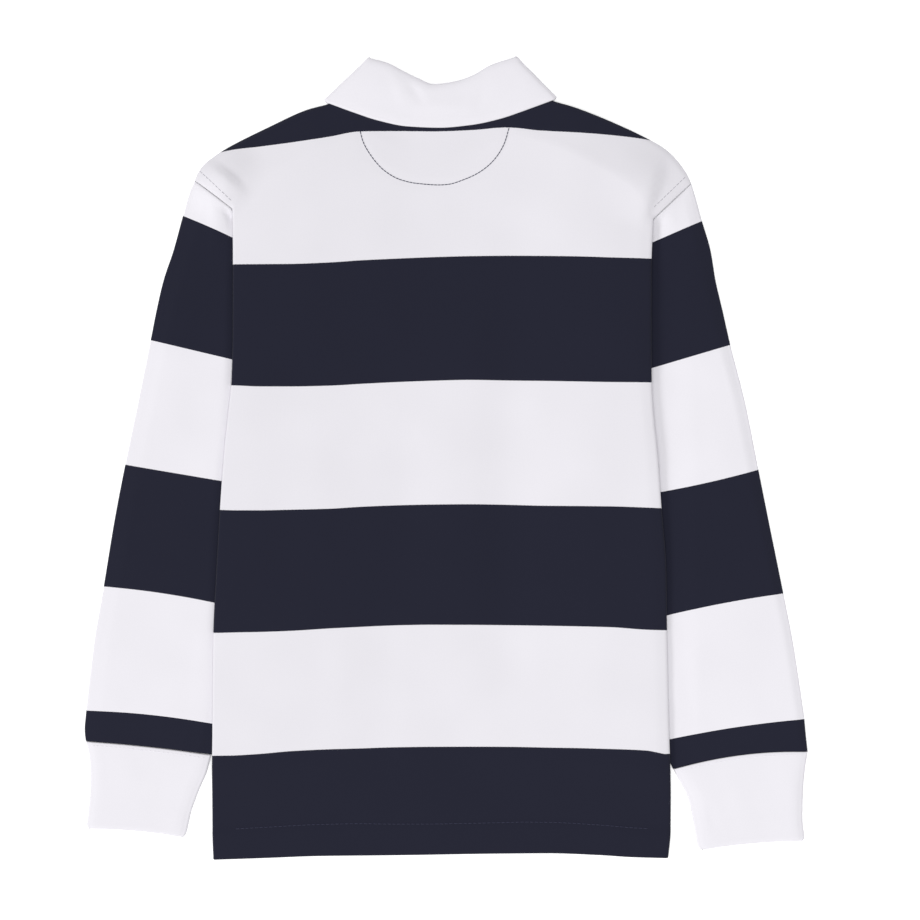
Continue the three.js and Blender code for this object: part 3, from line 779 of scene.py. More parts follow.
# %% Where the stripes change
Stripe = namedtuple("Stripe", "x hem first second third fourth fifth sixth")
BODY_STRIPES = [
    Stripe(-158.0, -281, -207.7, -121.7, -35.7, 51.6, 135.8, 214.6),
    Stripe(-147.0, -281, -207.4, -121.4, -36.0, 51.3, 136.0, 216.6),
    Stripe(-130.0, -281, -206.4, -121.1, -36.0, 50.6, 136.1, 218.5),
    Stripe(-109.0, -281, -204.6, -120.4, -35.6, 50.6, 136.2, 221.1),
    Stripe(-81.0, -281, -203.3, -118.7, -34.9, 51.2, 137.3, 225.3),
    Stripe(-60.0, -281, -202.8, -117.7, -33.6, 52.4, 138.8, 229.0),
    Stripe(-32.0, -281, -202.0, -116.6, -32.5, 53.8, 140.2, 229.3),
    Stripe(-10.0, -281, -201.7, -116.2, -32.0, 54.6, 141.1, 229.1),
    Stripe(17.0, -281, -201.7, -116.3, -31.8, 55.2, 141.8, 230.0),
    Stripe(42.0, -281, -201.7, -116.6, -32.2, 54.8, 142.0, 231.8),
    Stripe(66.0, -281, -202.0, -116.8, -32.8, 54.5, 141.8, 229.5),
    Stripe(94.0, -281, -202.4, -117.2, -33.0, 54.0, 141.3, 228.0),
    Stripe(115.0, -281, -202.9, -117.7, -33.2, 53.6, 140.6, 226.5),
    Stripe(139.0, -281, -203.8, -119.4, -34.0, 53.4, 140.0, 223.9),
    Stripe(153.0, -281, -206.4, -119.9, -34.6, 53.2, 139.6, 221.5),
]
STRIPE_NAMES = ["hem", "first", "second", "third", "fourth", "fifth", "sixth"]
ABOVE_LAST_STRIPE = 80.0


def body_course(x, y):
    """Whole numbers lie on the stripe edges. Even stripes are navy."""
    places = column(BODY_STRIPES, "x")
    edges = [smooth_curve(places, column(BODY_STRIPES, name), x) for name in STRIPE_NAMES]
    edges.append(edges[-1] + ABOVE_LAST_STRIPE)
    course = np.zeros_like(x)
    for low, high in zip(edges[:-1], edges[1:]):
        course += np.clip((y - low) / (high - low), 0, 1)
    return course


# %% [markdown]
# Both panels are made in the same way. The front is hidden below the back, so its folds can only
# be guessed. Cloth that is pressed flat by hand takes the same waves through both layers, so the
# front gets the back's raised waves at a share of their height.

# %% Make the back and the front
WALL = 1.1
FRONT_STEP = 5.0
PANEL_RIM = (0.5, 0.12, 0.12)
FRONT_SHARE = 0.6


def stacked(plan, level):
    return np.stack([plan["x"], plan["y"], level], axis=2)


def make_back():
    outer = stacked(body, back_level(body))
    knit = np.stack([body["x"], body["y"]], axis=2)
    course = body_course(body["x"], body["y"])
    piece = cloth_shell("back", outer, WALL, knit, course, bulge=PANEL_RIM)
    dress(piece, body_jersey, "back_panel")
    return piece


def front_waves(plan):
    """The back's raised waves, weaker. Its troughs add nothing: the front can't sink into the table."""
    return FRONT_SHARE * np.maximum(fold_height(plan["x"], plan["y"], BACK_FOLDS), 0)


def make_front():
    plan = panel_plan("front", FRONT_STEP)
    level = front_level(plan) + front_waves(plan) + FRONT_ROLL * edge_roll(plan, ROLL_WIDE)
    outer = stacked(plan, level)[:, ::-1]
    knit = np.stack([plan["x"], plan["y"]], axis=2)[:, ::-1]
    course = body_course(plan["x"], plan["y"])[:, ::-1]
    piece = cloth_shell("front", outer, WALL, knit, course, bulge=PANEL_RIM)
    dress(piece, body_jersey, "front_panel")
    return piece


back = make_back()
front = make_front()

# %% [markdown]
# A sleeve is one piece of jersey folded at its outer edge and sewn into a tube along the inside
# of the arm. Laid down, it is a flat tube with a soft fold on each side and a little air inside.
# Every row of its table is a course of the knit across the laid sleeve, from the outer fold to
# the inner edge, so rows 2, 6, 8, 10 and 12 are exactly where the stripes change.

# %% Sleeve tables
TubeRow = namedtuple("TubeRow", "out_x out_y in_x in_y bow puff")
Air = namedtuple("Air", "outer inset inner")
SLEEVE_LEFT = [
    TubeRow(-176.15, 194.6, -149.58, 174.37, 0.0, 0.0),
    TubeRow(-179.2, 187.9, -146.6, 166.5, 0.0, 0.8),
    TubeRow(-184.4, 170.4, -142.1, 151.5, 0.4, 1.2),
    TubeRow(-191.1, 145.9, -142.3, 128.0, 0.2, 1.4),
    TubeRow(-198.1, 124.9, -142.6, 107.5, 0.0, 1.4),
    TubeRow(-203.0, 103.9, -143.0, 88.0, 0.0, 1.4),
    TubeRow(-207.2, 82.6, -143.5, 67.5, 0.0, 1.35),
    TubeRow(-215.6, 40.9, -146.0, 27.0, 0.0, 1.3),
    TubeRow(-225.0, -4.5, -150.5, -17.1, 0.0, 1.25),
    TubeRow(-232.4, -43.0, -152.6, -55.5, 0.8, 1.2),
    TubeRow(-240.1, -89.9, -154.7, -102.9, 1.6, 1.05),
    TubeRow(-246.4, -127.0, -156.4, -138.5, 1.8, 0.95),
    TubeRow(-252.3, -176.8, -158.5, -186.9, 2.0, 0.8),
    TubeRow(-253.4, -190.0, -161.0, -199.5, 1.5, 0.7),
    TubeRow(-252.7, -197.8, -162.8, -207.5, 1.0, 0.6),
]
SLEEVE_RIGHT = [
    TubeRow(172.0, 192.75, 145.1, 167.37, 0.0, 0.0),
    TubeRow(174.6, 184.4, 141.6, 160.5, 0.0, 0.8),
    TubeRow(179.5, 166.6, 136.5, 148.0, 0.0, 1.2),
    TubeRow(185.5, 145.9, 136.7, 127.0, 0.0, 1.4),
    TubeRow(189.0, 124.9, 137.0, 106.0, 0.0, 1.4),
    TubeRow(193.9, 103.9, 137.4, 85.0, 0.0, 1.4),
    TubeRow(199.5, 79.1, 137.9, 60.9, 0.0, 1.35),
    TubeRow(209.3, 40.9, 140.8, 22.0, -0.5, 1.3),
    TubeRow(219.1, -8.0, 144.2, -24.8, -1.0, 1.25),
    TubeRow(226.1, -43.0, 145.6, -59.5, 0.5, 1.2),
    TubeRow(236.6, -94.8, 147.7, -112.0, 1.4, 1.05),
    TubeRow(242.9, -127.0, 148.8, -143.5, 1.6, 0.95),
    TubeRow(251.3, -182.7, 151.2, -198.1, 1.8, 0.8),
    TubeRow(252.3, -193.5, 154.5, -207.8, 2.8, 0.7),
    TubeRow(253.6, -205.4, 159.1, -217.6, 3.9, 0.6),
]
STRIPE_ROWS = [0, 2, 6, 8, 10, 12, 14]
STRIPE_COURSES = [5, 6, 7, 8, 9, 10, 10.99]

# %% [markdown]
# A ring of points goes once round the flat tube: over the top from the inner edge outwards, round
# the outer fold, back along the underside, which lies flat on the table, and round the inner fold.

# %% Grid of a laid tube
TOP_POINTS = 46
FOLD_POINTS = 7
UNDER_POINTS = 14
EDGE_SLOPE = 3.0


def tube_rows(table, step):
    """Row numbers at even steps along the tube, and the length up to each."""
    middle_x = (column(table, "out_x") + column(table, "in_x")) / 2
    middle_y = (column(table, "out_y") + column(table, "in_y")) / 2
    length = np.concatenate([[0], np.cumsum(np.hypot(np.diff(middle_x), np.diff(middle_y)))])
    even = spread(0, length[-1], step)
    even = np.insert(even, [1, len(even) - 1], [0.5, even[-1] - 0.5])
    return np.interp(even, length, np.arange(len(table))), even


def tube_grid(table, stack, fold, step, air):
    """Grid of a laid tube: x, y, z, distance from the outer edge, and where the top face is.
    The air inside rises over the outer distance and ends at the inset from the inner edge. Each
    of its three widths is given for the first and for the last row."""
    number, length = tube_rows(table, step)
    rows = np.arange(len(table))
    read = {
        name: smooth_curve(rows, column(table, name), number)[:, None] for name in TubeRow._fields
    }
    width = np.hypot(read["out_x"] - read["in_x"], read["out_y"] - read["in_y"])
    even = np.linspace(1, 0, TOP_POINTS)
    crowded = 0.5 * even + 0.5 * (0.5 - 0.5 * np.cos(math.pi * even))
    turn = np.radians(np.linspace(90, -90, FOLD_POINTS + 2)[1:-1])
    under = np.linspace(0, 1, UNDER_POINTS)
    flat = width - 2 * fold
    across = np.concatenate(
        [fold + flat * crowded, fold * (1 - np.cos(turn)) + 0 * width, fold + flat * under,
         width - fold * (1 - np.cos(turn))], axis=1
    )
    slope = smoothstep((across - fold) / EDGE_SLOPE)
    slope = slope * smoothstep((width - fold - across) / EDGE_SLOPE)
    outer, inset, inner = (np.interp(number, rows[[0, -1]], pair)[:, None] for pair in air)
    from_inner = width - inset - across
    puff = read["puff"] * smoothstep((across - fold / 2) / outer) * smoothstep(from_inner / inner)
    top = 2 * fold + (stack - 2 * fold) * slope + puff
    on_top = np.zeros(across.shape[1], bool)
    on_top[:TOP_POINTS] = True
    round_z = fold * (1 + np.sin(turn))
    fold_z = np.concatenate([np.zeros(TOP_POINTS), round_z, np.zeros(UNDER_POINTS), round_z[::-1]])
    z = np.where(on_top, top, fold_z)
    share = across / width
    x = read["out_x"] + (read["in_x"] - read["out_x"]) * share
    bow = read["bow"] * 4 * share * (1 - share)
    y = read["out_y"] + (read["in_y"] - read["out_y"]) * share + bow
    return {"x": x, "y": y, "z": z, "share": share, "width": width, "top": on_top,
            "row": number[:, None] + 0 * x, "length": length[:, None] + 0 * x}


# %% Knit map and shell of a tube
def tube_knit(grid):
    """Millimetres round the tube and along it, with the first column again at the end."""
    width = grid["width"]
    across = grid["share"] * width
    under = np.arange(across.shape[1]) >= TOP_POINTS + FOLD_POINTS // 2
    round_tube = np.where(under, width + across, width - across)
    round_tube = np.concatenate([round_tube, 2 * width], axis=1)
    length = np.concatenate([grid["length"], grid["length"][:, :1]], axis=1)
    return np.stack([round_tube, -length], axis=2)


def tube_shell(name, grid, thickness, course, mirrored, bulge):
    outer = np.stack([grid["x"], grid["y"], grid["z"]], axis=2)
    knit = tube_knit(grid)
    if mirrored:
        outer = outer[:, ::-1]
        knit = knit[:, ::-1]
        course = None if course is None else course[:, ::-1]
    return cloth_shell(name, outer, thickness, knit, course, wrap=True, bulge=bulge)


# %% [markdown]
# Where a sleeve meets the body, both layers must be at the same height along the armhole seam.
# Below the corner of the armhole the body lies on top of the sleeve instead. So near the seam the
# sleeve climbs to the body's height, and it sinks again over the next 45 mm and towards the
# body's edge, where it slips underneath. That makes the dark soft groove below the armpit.

# %% Lift along the armhole
SEAM_LIFT = {"share": [0, 0.25, 0.5, 0.75, 1.0], "height": [2.25, 2.2, 1.5, 0.65, 0.0]}
SEAM_FLAT = 0.5
SEAM_END = 45.0
NEAR_SEAM = 6.0
TUCK_WIDTH = 15.0
CORNER_SLACK = 1.2


def seam_lift(grid, corner, shoulder):
    """corner and shoulder are the ends of the armhole seam on the plan."""
    corner, shoulder = np.array(corner), np.array(shoulder)
    run = shoulder - corner
    dx, dy = grid["x"] - corner[0], grid["y"] - corner[1]
    along = np.clip((dx * run[0] + dy * run[1]) / (run @ run), 0, 1)
    away = np.hypot(dx - along * run[0], dy - along * run[1])
    lift = np.interp(along, SEAM_LIFT["share"], SEAM_LIFT["height"])
    lift = lift * fade(away, SEAM_FLAT, SEAM_END)
    outside = abs(grid["x"]) - abs(corner[0])
    near = fade(away, SEAM_FLAT, NEAR_SEAM)
    tucked = near + (1 - near) * smoothstep(outside / TUCK_WIDTH)
    return lift * tucked * smoothstep((outside + CORNER_SLACK) / CORNER_SLACK)


# %% [markdown]
# Folds of the sleeves. The photograph shows a soft long hollow next to the body, a low wave along
# the middle, and a wide soft edge outside. A few short dents near the elbow and above the cuff
# keep the two arms from looking alike.

# %% Folds of the sleeves
LEFT_FOLDS = [
    Fold(-173, 60, 210, 40, 12, 4, -0.3),
    Fold(-196, 10, 220, 44, 12, -5, 0.15),
    Fold(-214, -110, 150, 50, 6, 5, 0.15),
    Fold(-172, -140, 120, 14, 5, 0, 0.22),
    Fold(-206, 60, 50, 18, 60, 3, -0.15),
    Fold(-222, -170, 46, 20, -4, -3, -0.15),
]
RIGHT_FOLDS = [
    Fold(168, 70, 210, 38, -12, -4, -0.2),
    Fold(188, 20, 230, 46, -11, 5, 0.25),
    Fold(206, -100, 160, 50, -8, -5, 0.15),
    Fold(170, -165, 80, 16, -5, 0, -0.22),
    Fold(196, -40, 56, 20, -66, 3, -0.15),
    Fold(214, -172, 58, 26, -8, -3, 0.15),
]
SLEEVE_STACK = 2.5
SLEEVE_FOLD = 1.15
SLEEVE_WALL = 1.05
SLEEVE_STEP = 2.5
SLEEVE_RIM = (0.12, 0.3, 0)
SLEEVE_RUMPLE = {"height": 0.05, "wavelength": 40}
SMOOTH_SHARE = 0.12
CREASE_IN = 6
LEFT_AIR = Air((14, 12), (4.5, 5.0), (9, 6))
RIGHT_AIR = Air((11, 5), (20.0, 9.5), (26, 16))


def soft_height(grid, folds, seed, waves, smooth_share):
    """Folds and rumple of a laid tube, which fade towards both of its long edges."""
    share = grid["share"]
    inside = smoothstep(share / smooth_share) * smoothstep((1 - share) / smooth_share)
    height = fold_height(grid["x"], grid["y"], folds) + rumple(grid["x"], grid["y"], seed, **waves)
    return height * inside


def make_sleeve(name, node, table, folds, corner, shoulder, air, mirrored, seed):
    grid = tube_grid(table, SLEEVE_STACK, SLEEVE_FOLD, SLEEVE_STEP, air)
    soft = soft_height(grid, folds, seed, SLEEVE_RUMPLE, SMOOTH_SHARE) * smoothstep(grid["row"])
    edge = grid["share"] * grid["width"]
    outside = smoothstep((abs(grid["x"]) - abs(corner[0]) + CORNER_SLACK) / CORNER_SLACK)
    crossing = shoulder_height(grid["x"], grid["y"]) * outside * smoothstep(edge / CREASE_IN)
    sewn = SEAM_ROLL * BACK_ROLL * quarter_roll(grid["length"], SEAM_WIDE)
    rise = soft + crossing + seam_lift(grid, corner, shoulder) - sewn
    grid["z"] = grid["z"] + np.where(grid["top"], rise, 0)
    course = np.interp(grid["row"], STRIPE_ROWS, STRIPE_COURSES)
    piece = tube_shell(name, grid, SLEEVE_WALL, course, mirrored, SLEEVE_RIM)
    dress(piece, sleeve_jersey, node)
    return piece


corner_row, shoulder_row = SIDES[ARMHOLE_ROW], SIDES[-1]
sleeve_left = make_sleeve(
    "left_sleeve", "sleeve_left", SLEEVE_LEFT, LEFT_FOLDS, (corner_row.left, corner_row.left_y),
    (shoulder_row.left, shoulder_row.left_y), LEFT_AIR, False, 21
)
sleeve_right = make_sleeve(
    "right_sleeve", "sleeve_right", SLEEVE_RIGHT, RIGHT_FOLDS, (corner_row.right, corner_row.right_y),
    (shoulder_row.right, shoulder_row.right_y), RIGHT_AIR, True, 22
)

# %% [markdown]
# The cuffs are bands of white jersey, folded double, so they are thicker than the sleeve and
# hold their shape. They pull in towards the wrist and end in a folded edge with no hem.

# %% Cuffs
CUFF_LEFT = [
    TubeRow(-252.6, -198.4, -164.6, -208.0, 1.0, 0.3),
    TubeRow(-250.0, -208.9, -167.6, -219.4, 0.8, 0.5),
    TubeRow(-249.2, -226.4, -172.9, -232.0, 0.8, 0.6),
    TubeRow(-250.4, -244.6, -178.5, -247.4, 1.2, 0.5),
    TubeRow(-251.8, -256.9, -182.2, -263.0, 1.6, 0.3),
    TubeRow(-250.7, -259.4, -184.1, -265.4, 1.7, 0.3),
]
CUFF_RIGHT = [
    TubeRow(253.6, -205.6, 159.4, -217.8, 3.9, 0.3),
    TubeRow(251.6, -218.0, 163.5, -225.7, 2.6, 0.5),
    TubeRow(250.4, -232.0, 169.8, -239.0, 2.0, 0.6),
    TubeRow(249.9, -251.6, 173.2, -254.4, 1.6, 0.5),
    TubeRow(251.2, -265.4, 176.5, -272.0, 1.6, 0.3),
    TubeRow(250.1, -267.9, 178.6, -274.3, 1.6, 0.3),
]
CUFF_STACK = 3.6
CUFF_EDGE = 1.6
CUFF_WALL = 1.45
CUFF_STEP = 1.6
CUFF_AIR = Air((8, 8), (2, 2), (8, 8))
CUFF_RIM = (0.15, 0.6, 0)
CUFF_RUMPLE = {"height": 0.03, "wavelength": 24}
CUFF_SMOOTH_SHARE = 0.1
WRIST_ROLL = {"drop": 0.8, "wide": 3.0}
CUFF_SEAM_ROLL = {"drop": 0.35, "wide": 2.2}
LEFT_CUFF_FOLDS = [
    Fold(-222, -230, 44, 22, 6, 2, 0.12),
    Fold(-200, -236, 50, 20, 10, -2, -0.1),
    Fold(-238, -222, 30, 14, -6, 2, -0.08),
]
RIGHT_CUFF_FOLDS = [
    Fold(206, -240, 46, 24, -6, 2, 0.12),
    Fold(228, -236, 50, 20, -3, -2, -0.1),
    Fold(186, -252, 26, 14, -14, 2, -0.22),
]


def make_cuff(name, node, table, folds, mirrored, seed):
    grid = tube_grid(table, CUFF_STACK, CUFF_EDGE, CUFF_STEP, CUFF_AIR)
    soft = soft_height(grid, folds, seed, CUFF_RUMPLE, CUFF_SMOOTH_SHARE)
    from_wrist = grid["length"].max() - grid["length"]
    edge = -WRIST_ROLL["drop"] * quarter_roll(from_wrist, WRIST_ROLL["wide"])
    edge = edge - CUFF_SEAM_ROLL["drop"] * quarter_roll(grid["length"], CUFF_SEAM_ROLL["wide"])
    grid["z"] = grid["z"] + np.where(grid["top"], soft + edge, 0)
    piece = tube_shell(name, grid, CUFF_WALL, None, mirrored, CUFF_RIM)
    dress(piece, white_jersey, node)
    return piece


cuff_left = make_cuff("left_cuff", "cuff_left", CUFF_LEFT, LEFT_CUFF_FOLDS, False, 31)
cuff_right = make_cuff("right_cuff", "cuff_right", CUFF_RIGHT, RIGHT_CUFF_FOLDS, True, 32)

# %% [markdown]
# The collar is one band of white twill, folded over lengthwise: the stand is sewn to the neck,
# turns over at the roll, and falls back as the leaf. Laid flat, the whole collar is folded once
# more at both sides of the neck, so the back half lies on the front half. Each station is a
# section from the leaf's free edge over the roll down to the neck seam, and the angle says
# which way it faces: 90 degrees is up, -90 down, and the ones between go round the side fold.

# %% Collar tables
Station = namedtuple("Station", "neck_x roll_x roll_y edge_x edge_y")
COLLAR_BACK = [
    Station(-65.2, -52.2, 279.9, -83.4, 249.3),
    Station(-49.7, -41.2, 276.9, -65.2, 242.6),
    Station(-33.6, -28.7, 270.5, -47.2, 236.7),
    Station(-17.5, -18.2, 265.5, -27.3, 232.7),
    Station(-2.8, -8.4, 261.9, -4.9, 231.7),
    Station(12.6, 6.3, 263.8, 17.5, 233.6),
    Station(28.0, 18.9, 268.2, 37.8, 237.9),
    Station(43.4, 31.0, 275.2, 56.2, 244.1),
    Station(59.6, 47.4, 280.6, 75.4, 251.2),
]
COLLAR_FRONT_LEFT = [
    Station(-18.6, -21.5, 222.5, -47.0, 180.0),
    Station(-33.6, -27.0, 236.0, -57.0, 199.0),
    Station(-49.7, -37.5, 258.0, -69.0, 224.0),
    COLLAR_BACK[0],
]
COLLAR_FRONT_RIGHT = [
    COLLAR_BACK[-1],
    Station(43.4, 34.0, 258.5, 62.5, 226.0),
    Station(28.0, 21.0, 236.0, 51.0, 200.0),
    Station(13.7, 16.0, 222.5, 41.5, 180.0),
]

# %% Section of the collar
COLLAR_HALF = 3.0
COLLAR_WALL = 1.1
COLLAR_RIM = (0.3, 0.3, 0.4)
COLLAR_RUMPLE = {"seed": 41, "height": 0.04, "wavelength": 26}
ROLL_RADIUS = 1.4
ROLL_DEEP = 7.0
SIDE_SOFT = 11.0
SIDE_PRESS = 0.42
NECK_GAP = 0.6
LEAF_POINTS = 20
STAND_POINTS = 9
COLLAR_CROWN = 0.9
COLLAR_FOLDS = [
    Fold(-21, 256, 30, 11, -28, 1, -0.45),
    Fold(-32, 258, 34, 14, -20, -1, 0.35),
    Fold(24, 252, 34, 14, 22, 1, -0.3),
    Fold(-2, 246, 60, 16, 88, 0, 0.25),
]


def collar_section(row, neck, angle, outward):
    """Points of the outer face from the leaf's edge over the roll to the neck seam."""
    turn = math.radians(angle)
    facing = np.array([outward[0] * math.cos(turn), outward[1] * math.cos(turn), math.sin(turn)])
    neck_y = smooth_curve(column(SHOULDERS, "x"), column(SHOULDERS, neck), row.neck_x)
    foot = np.array([row.neck_x, float(neck_y) + NECK_GAP])
    edge = np.array([row.edge_x, row.edge_y])
    roll = np.array([row.roll_x, row.roll_y])
    ahead = roll - (foot + edge) / 2
    ahead = ahead / np.linalg.norm(ahead)
    upwards = max(0.0, math.sin(turn))
    crown = COLLAR_CROWN * upwards
    radius = ROLL_RADIUS + crown / 2
    centre = roll - ahead * ROLL_DEEP
    share = np.linspace(0, 1, LEAF_POINTS)[:, None]
    leaf = edge + (centre - edge) * share
    leaf_depth = -crown * smoothstep(share * 1.15) + 0.35 * upwards * (1 - smoothstep(share * 5))
    bend = np.radians(np.linspace(0, 180, 11)[1:-1])[:, None]
    turned = centre + ahead * ROLL_DEEP * np.sin(bend)
    turned_depth = -crown + radius * (1 - np.cos(bend))
    down = np.linspace(0, 1, STAND_POINTS)[:, None]
    stand = centre + (foot - centre) * down
    stand_depth = np.full_like(down, 2 * ROLL_RADIUS)
    flat = np.concatenate([leaf, turned, stand])
    depth = np.concatenate([leaf_depth, turned_depth, stand_depth])
    points = np.concatenate([flat, np.full_like(depth, COLLAR_HALF)], axis=1)
    return points + facing * (COLLAR_HALF - depth)


def side_outward(row, side):
    """Level direction out of a side fold, square to its line from edge to roll."""
    dx, dy = row.roll_x - row.edge_x, row.roll_y - row.edge_y
    length = math.hypot(dx, dy)
    sign = side * math.copysign(1, dy)
    return (sign * dy / length, -sign * dx / length)


def between(table, count):
    """Stations on smooth curves through the table's own."""
    at = np.linspace(0, len(table) - 1, count)
    rows = np.arange(len(table))
    read = [smooth_curve(rows, column(table, name), at) for name in Station._fields]
    return [Station(*values) for values in zip(*read)]


def side_press(outer):
    """The folded collar thins out towards both side folds: a share of its height there."""
    press = np.ones(outer.shape[:2])
    for row, side in ((COLLAR_BACK[0], -1), (COLLAR_BACK[-1], 1)):
        out_x, out_y = side_outward(row, side)
        aside, ahead = outer[:, :, 0] - row.edge_x, outer[:, :, 1] - row.edge_y
        inward = COLLAR_HALF - aside * out_x - ahead * out_y
        press = press - SIDE_PRESS * quarter_roll(np.clip(inward, 0, None), SIDE_SOFT)
    return press


# %% Make the collar
BACK_STATIONS = 84
FRONT_STATIONS = 22
SIDE_STATIONS = 15


def make_collar():
    left_out = side_outward(COLLAR_BACK[0], -1)
    right_out = side_outward(COLLAR_BACK[-1], 1)
    angles = np.linspace(-90, 90, SIDE_STATIONS)[1:-1]
    first, last = COLLAR_BACK[0], COLLAR_BACK[-1]
    front_left = between(COLLAR_FRONT_LEFT, FRONT_STATIONS)[:-1]
    front_right = between(COLLAR_FRONT_RIGHT, FRONT_STATIONS)[1:]
    places = [(row, "front", -90, left_out) for row in front_left]
    places += [(first, "back", angle, left_out) for angle in [-90, *angles]]
    places += [(row, "back", 90, left_out) for row in between(COLLAR_BACK, BACK_STATIONS)]
    places += [(last, "back", angle, right_out) for angle in [*angles[::-1], -90]]
    places += [(row, "front", -90, right_out) for row in front_right]
    outer = np.stack([collar_section(*place) for place in places])
    leaf = np.arange(outer.shape[1]) < LEAF_POINTS
    upper = (outer[:, :, 2] > COLLAR_HALF + 2) & leaf
    soft = fold_height(outer[:, :, 0], outer[:, :, 1], COLLAR_FOLDS)
    soft = soft + rumple(outer[:, :, 0], outer[:, :, 1], **COLLAR_RUMPLE)
    outer[:, :, 2] += np.where(upper, soft, 0)
    outer[:, :, 2] = COLLAR_HALF + (outer[:, :, 2] - COLLAR_HALF) * side_press(outer)
    round_neck = np.diff(outer, axis=0, prepend=outer[:1])
    down_section = np.diff(outer, axis=1, prepend=outer[:, :1])
    along = np.cumsum(np.linalg.norm(round_neck, axis=2).mean(axis=1))
    down = np.cumsum(np.linalg.norm(down_section, axis=2), axis=1)
    knit = np.stack([along[:, None] + 0 * down, down], axis=2)
    piece = cloth_shell("collar_band", outer[::-1], COLLAR_WALL, knit[::-1], bulge=COLLAR_RIM)
    dress(piece, white_twill, "collar")
    return piece


collar = make_collar()

# %% [markdown]
# The placket closes the neck opening in front. It lies under the shirt here, so it is a plain
# strip on the front's outer face.

# %% Placket
PLACKET = {"left": -17.5, "right": 12.6, "low": 124.3, "high": 211.0}
PLACKET_STEP = 3.0
PLACKET_WALL = 1.1
PLACKET_RIM = (0.3, 0.3, 0.3)
FAR_FROM_SIDES = 100.0


def make_placket():
    across = spread(PLACKET["right"], PLACKET["left"], PLACKET_STEP)
    upwards = spread(PLACKET["low"], PLACKET["high"], PLACKET_STEP)
    x, y = np.meshgrid(across, upwards)
    plan = {"x": x, "y": y, "nearest": np.full_like(x, FAR_FROM_SIDES), "lift": np.zeros_like(x)}
    z = front_level(plan) + front_waves(plan) - FRONT_LIFT
    outer = stacked(plan, np.maximum(z, 0))
    knit = np.stack([x, y], axis=2)
    piece = cloth_shell("placket_strip", outer, PLACKET_WALL, knit, bulge=PLACKET_RIM)
    dress(piece, white_twill, "placket")
    return piece


placket = make_placket()

# %% [markdown]
# Every stitch is a short length of thread that comes out of the cloth, lies on it and dives back
# in. One row of stitches is one mesh. The path is given on the plan and dropped onto the cloth
# from above, so the thread follows each fold.

# %% Stitches
Thread = namedtuple("Thread", "radius long gap")
STITCH_SECTIONS = 6
STITCH_SIDES = 6


def drop_on(tree, x, y):
    """Height of the cloth below a place on the plan, in millimetres."""
    point = tree.ray_cast(Vector((x * MM, y * MM, 0.1)), Vector((0, 0, -1)))[0]
    return point.z / MM


def cloth_tree(*pieces):
    points, faces = [], []
    for piece in pieces:
        start = len(points)
        points += [vertex.co for vertex in piece.data.vertices]
        faces += [[start + index for index in face.vertices] for face in piece.data.polygons]
    return BVHTree.FromPolygons(points, faces)


def even_places(path, pitch):
    """Middles and directions of stitches set evenly along a plan path."""
    path = np.array(path, float)
    length = np.concatenate([[0], np.cumsum(np.hypot(*np.diff(path, axis=0).T))])
    count = int(length[-1] / pitch)
    at = (np.arange(count) + 0.5) * length[-1] / count
    middle = np.stack([np.interp(at, length, path[:, k]) for k in (0, 1)], axis=1)
    ahead = np.stack([np.interp(at + 0.5, length, path[:, k]) for k in (0, 1)], axis=1) - middle
    return middle, ahead / np.linalg.norm(ahead, axis=1, keepdims=True)


def stitch_row(name, paths, tree, thread, finish):
    points, faces = [], []
    for path in paths:
        for middle, ahead in zip(*even_places(path, thread.long + thread.gap)):
            start = len(points)
            aside = np.array([-ahead[1], ahead[0]])
            for section in range(STITCH_SECTIONS):
                t = -1 + 2 * section / (STITCH_SECTIONS - 1)
                centre = middle + ahead * thread.long / 2 * t
                level = drop_on(tree, *centre) + thread.radius * (0.55 - 1.5 * t**6)
                size = thread.radius * (1 - 0.35 * t**4)
                for side in range(STITCH_SIDES):
                    angle = 2 * math.pi * side / STITCH_SIDES
                    flat = centre + aside * size * math.cos(angle)
                    points.append((flat[0], flat[1], level + size * math.sin(angle)))
            for section in range(STITCH_SECTIONS - 1):
                for side in range(STITCH_SIDES):
                    a = start + section * STITCH_SIDES + side
                    b = start + section * STITCH_SIDES + (side + 1) % STITCH_SIDES
                    faces.append((a, b, b + STITCH_SIDES, a + STITCH_SIDES))
            last = start + (STITCH_SECTIONS - 1) * STITCH_SIDES
            faces.append(tuple(range(start + STITCH_SIDES - 1, start - 1, -1)))
            faces.append(tuple(range(last, last + STITCH_SIDES)))
    mesh = bpy.data.meshes.new(name)
    mesh.from_pydata((np.array(points) * MM).tolist(), [], faces)
    mesh.polygons.foreach_set("use_smooth", [True] * len(mesh.polygons))
    mesh.materials.append(finish)
    piece = bpy.data.objects.new(name, mesh)
    bpy.context.scene.collection.objects.link(piece)
    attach(piece, "root")
    print(name, "faces:", len(faces))
    return piece


# %% [markdown]
# The half moon of stitching below the collar holds a patch inside the neck. It is sewn in navy
# and shows as a thin dark line on the white stripe.

# %% Half moon
HALF_MOON = [(-60.0, 229.0), (-58.3, 222.4), (-51.9, 211.0), (-42.0, 200.5), (-31.4, 194.9),
             (-20.2, 192.5), (-4.8, 191.4), (1.2, 191.8), (12.6, 195.2), (23.9, 200.6),
             (33.7, 209.0), (40.7, 220.2), (44.1, 231.3)]
MOON_THREAD = Thread(0.29, 2.6, -0.15)


def curved_path(points, step):
    """A smooth path through points on the plan."""
    points = np.array(points, float)
    length = np.concatenate([[0], np.cumsum(np.hypot(*np.diff(points, axis=0).T))])
    at = spread(0, length[-1], step)
    return np.stack([smooth_curve(length, points[:, k], at) for k in (0, 1)], axis=1)


back_tree = cloth_tree(back)
half_moon = stitch_row(
    "half_moon_stitches", [curved_path(HALF_MOON, 1.5)],
    back_tree, MOON_THREAD, navy_thread
)
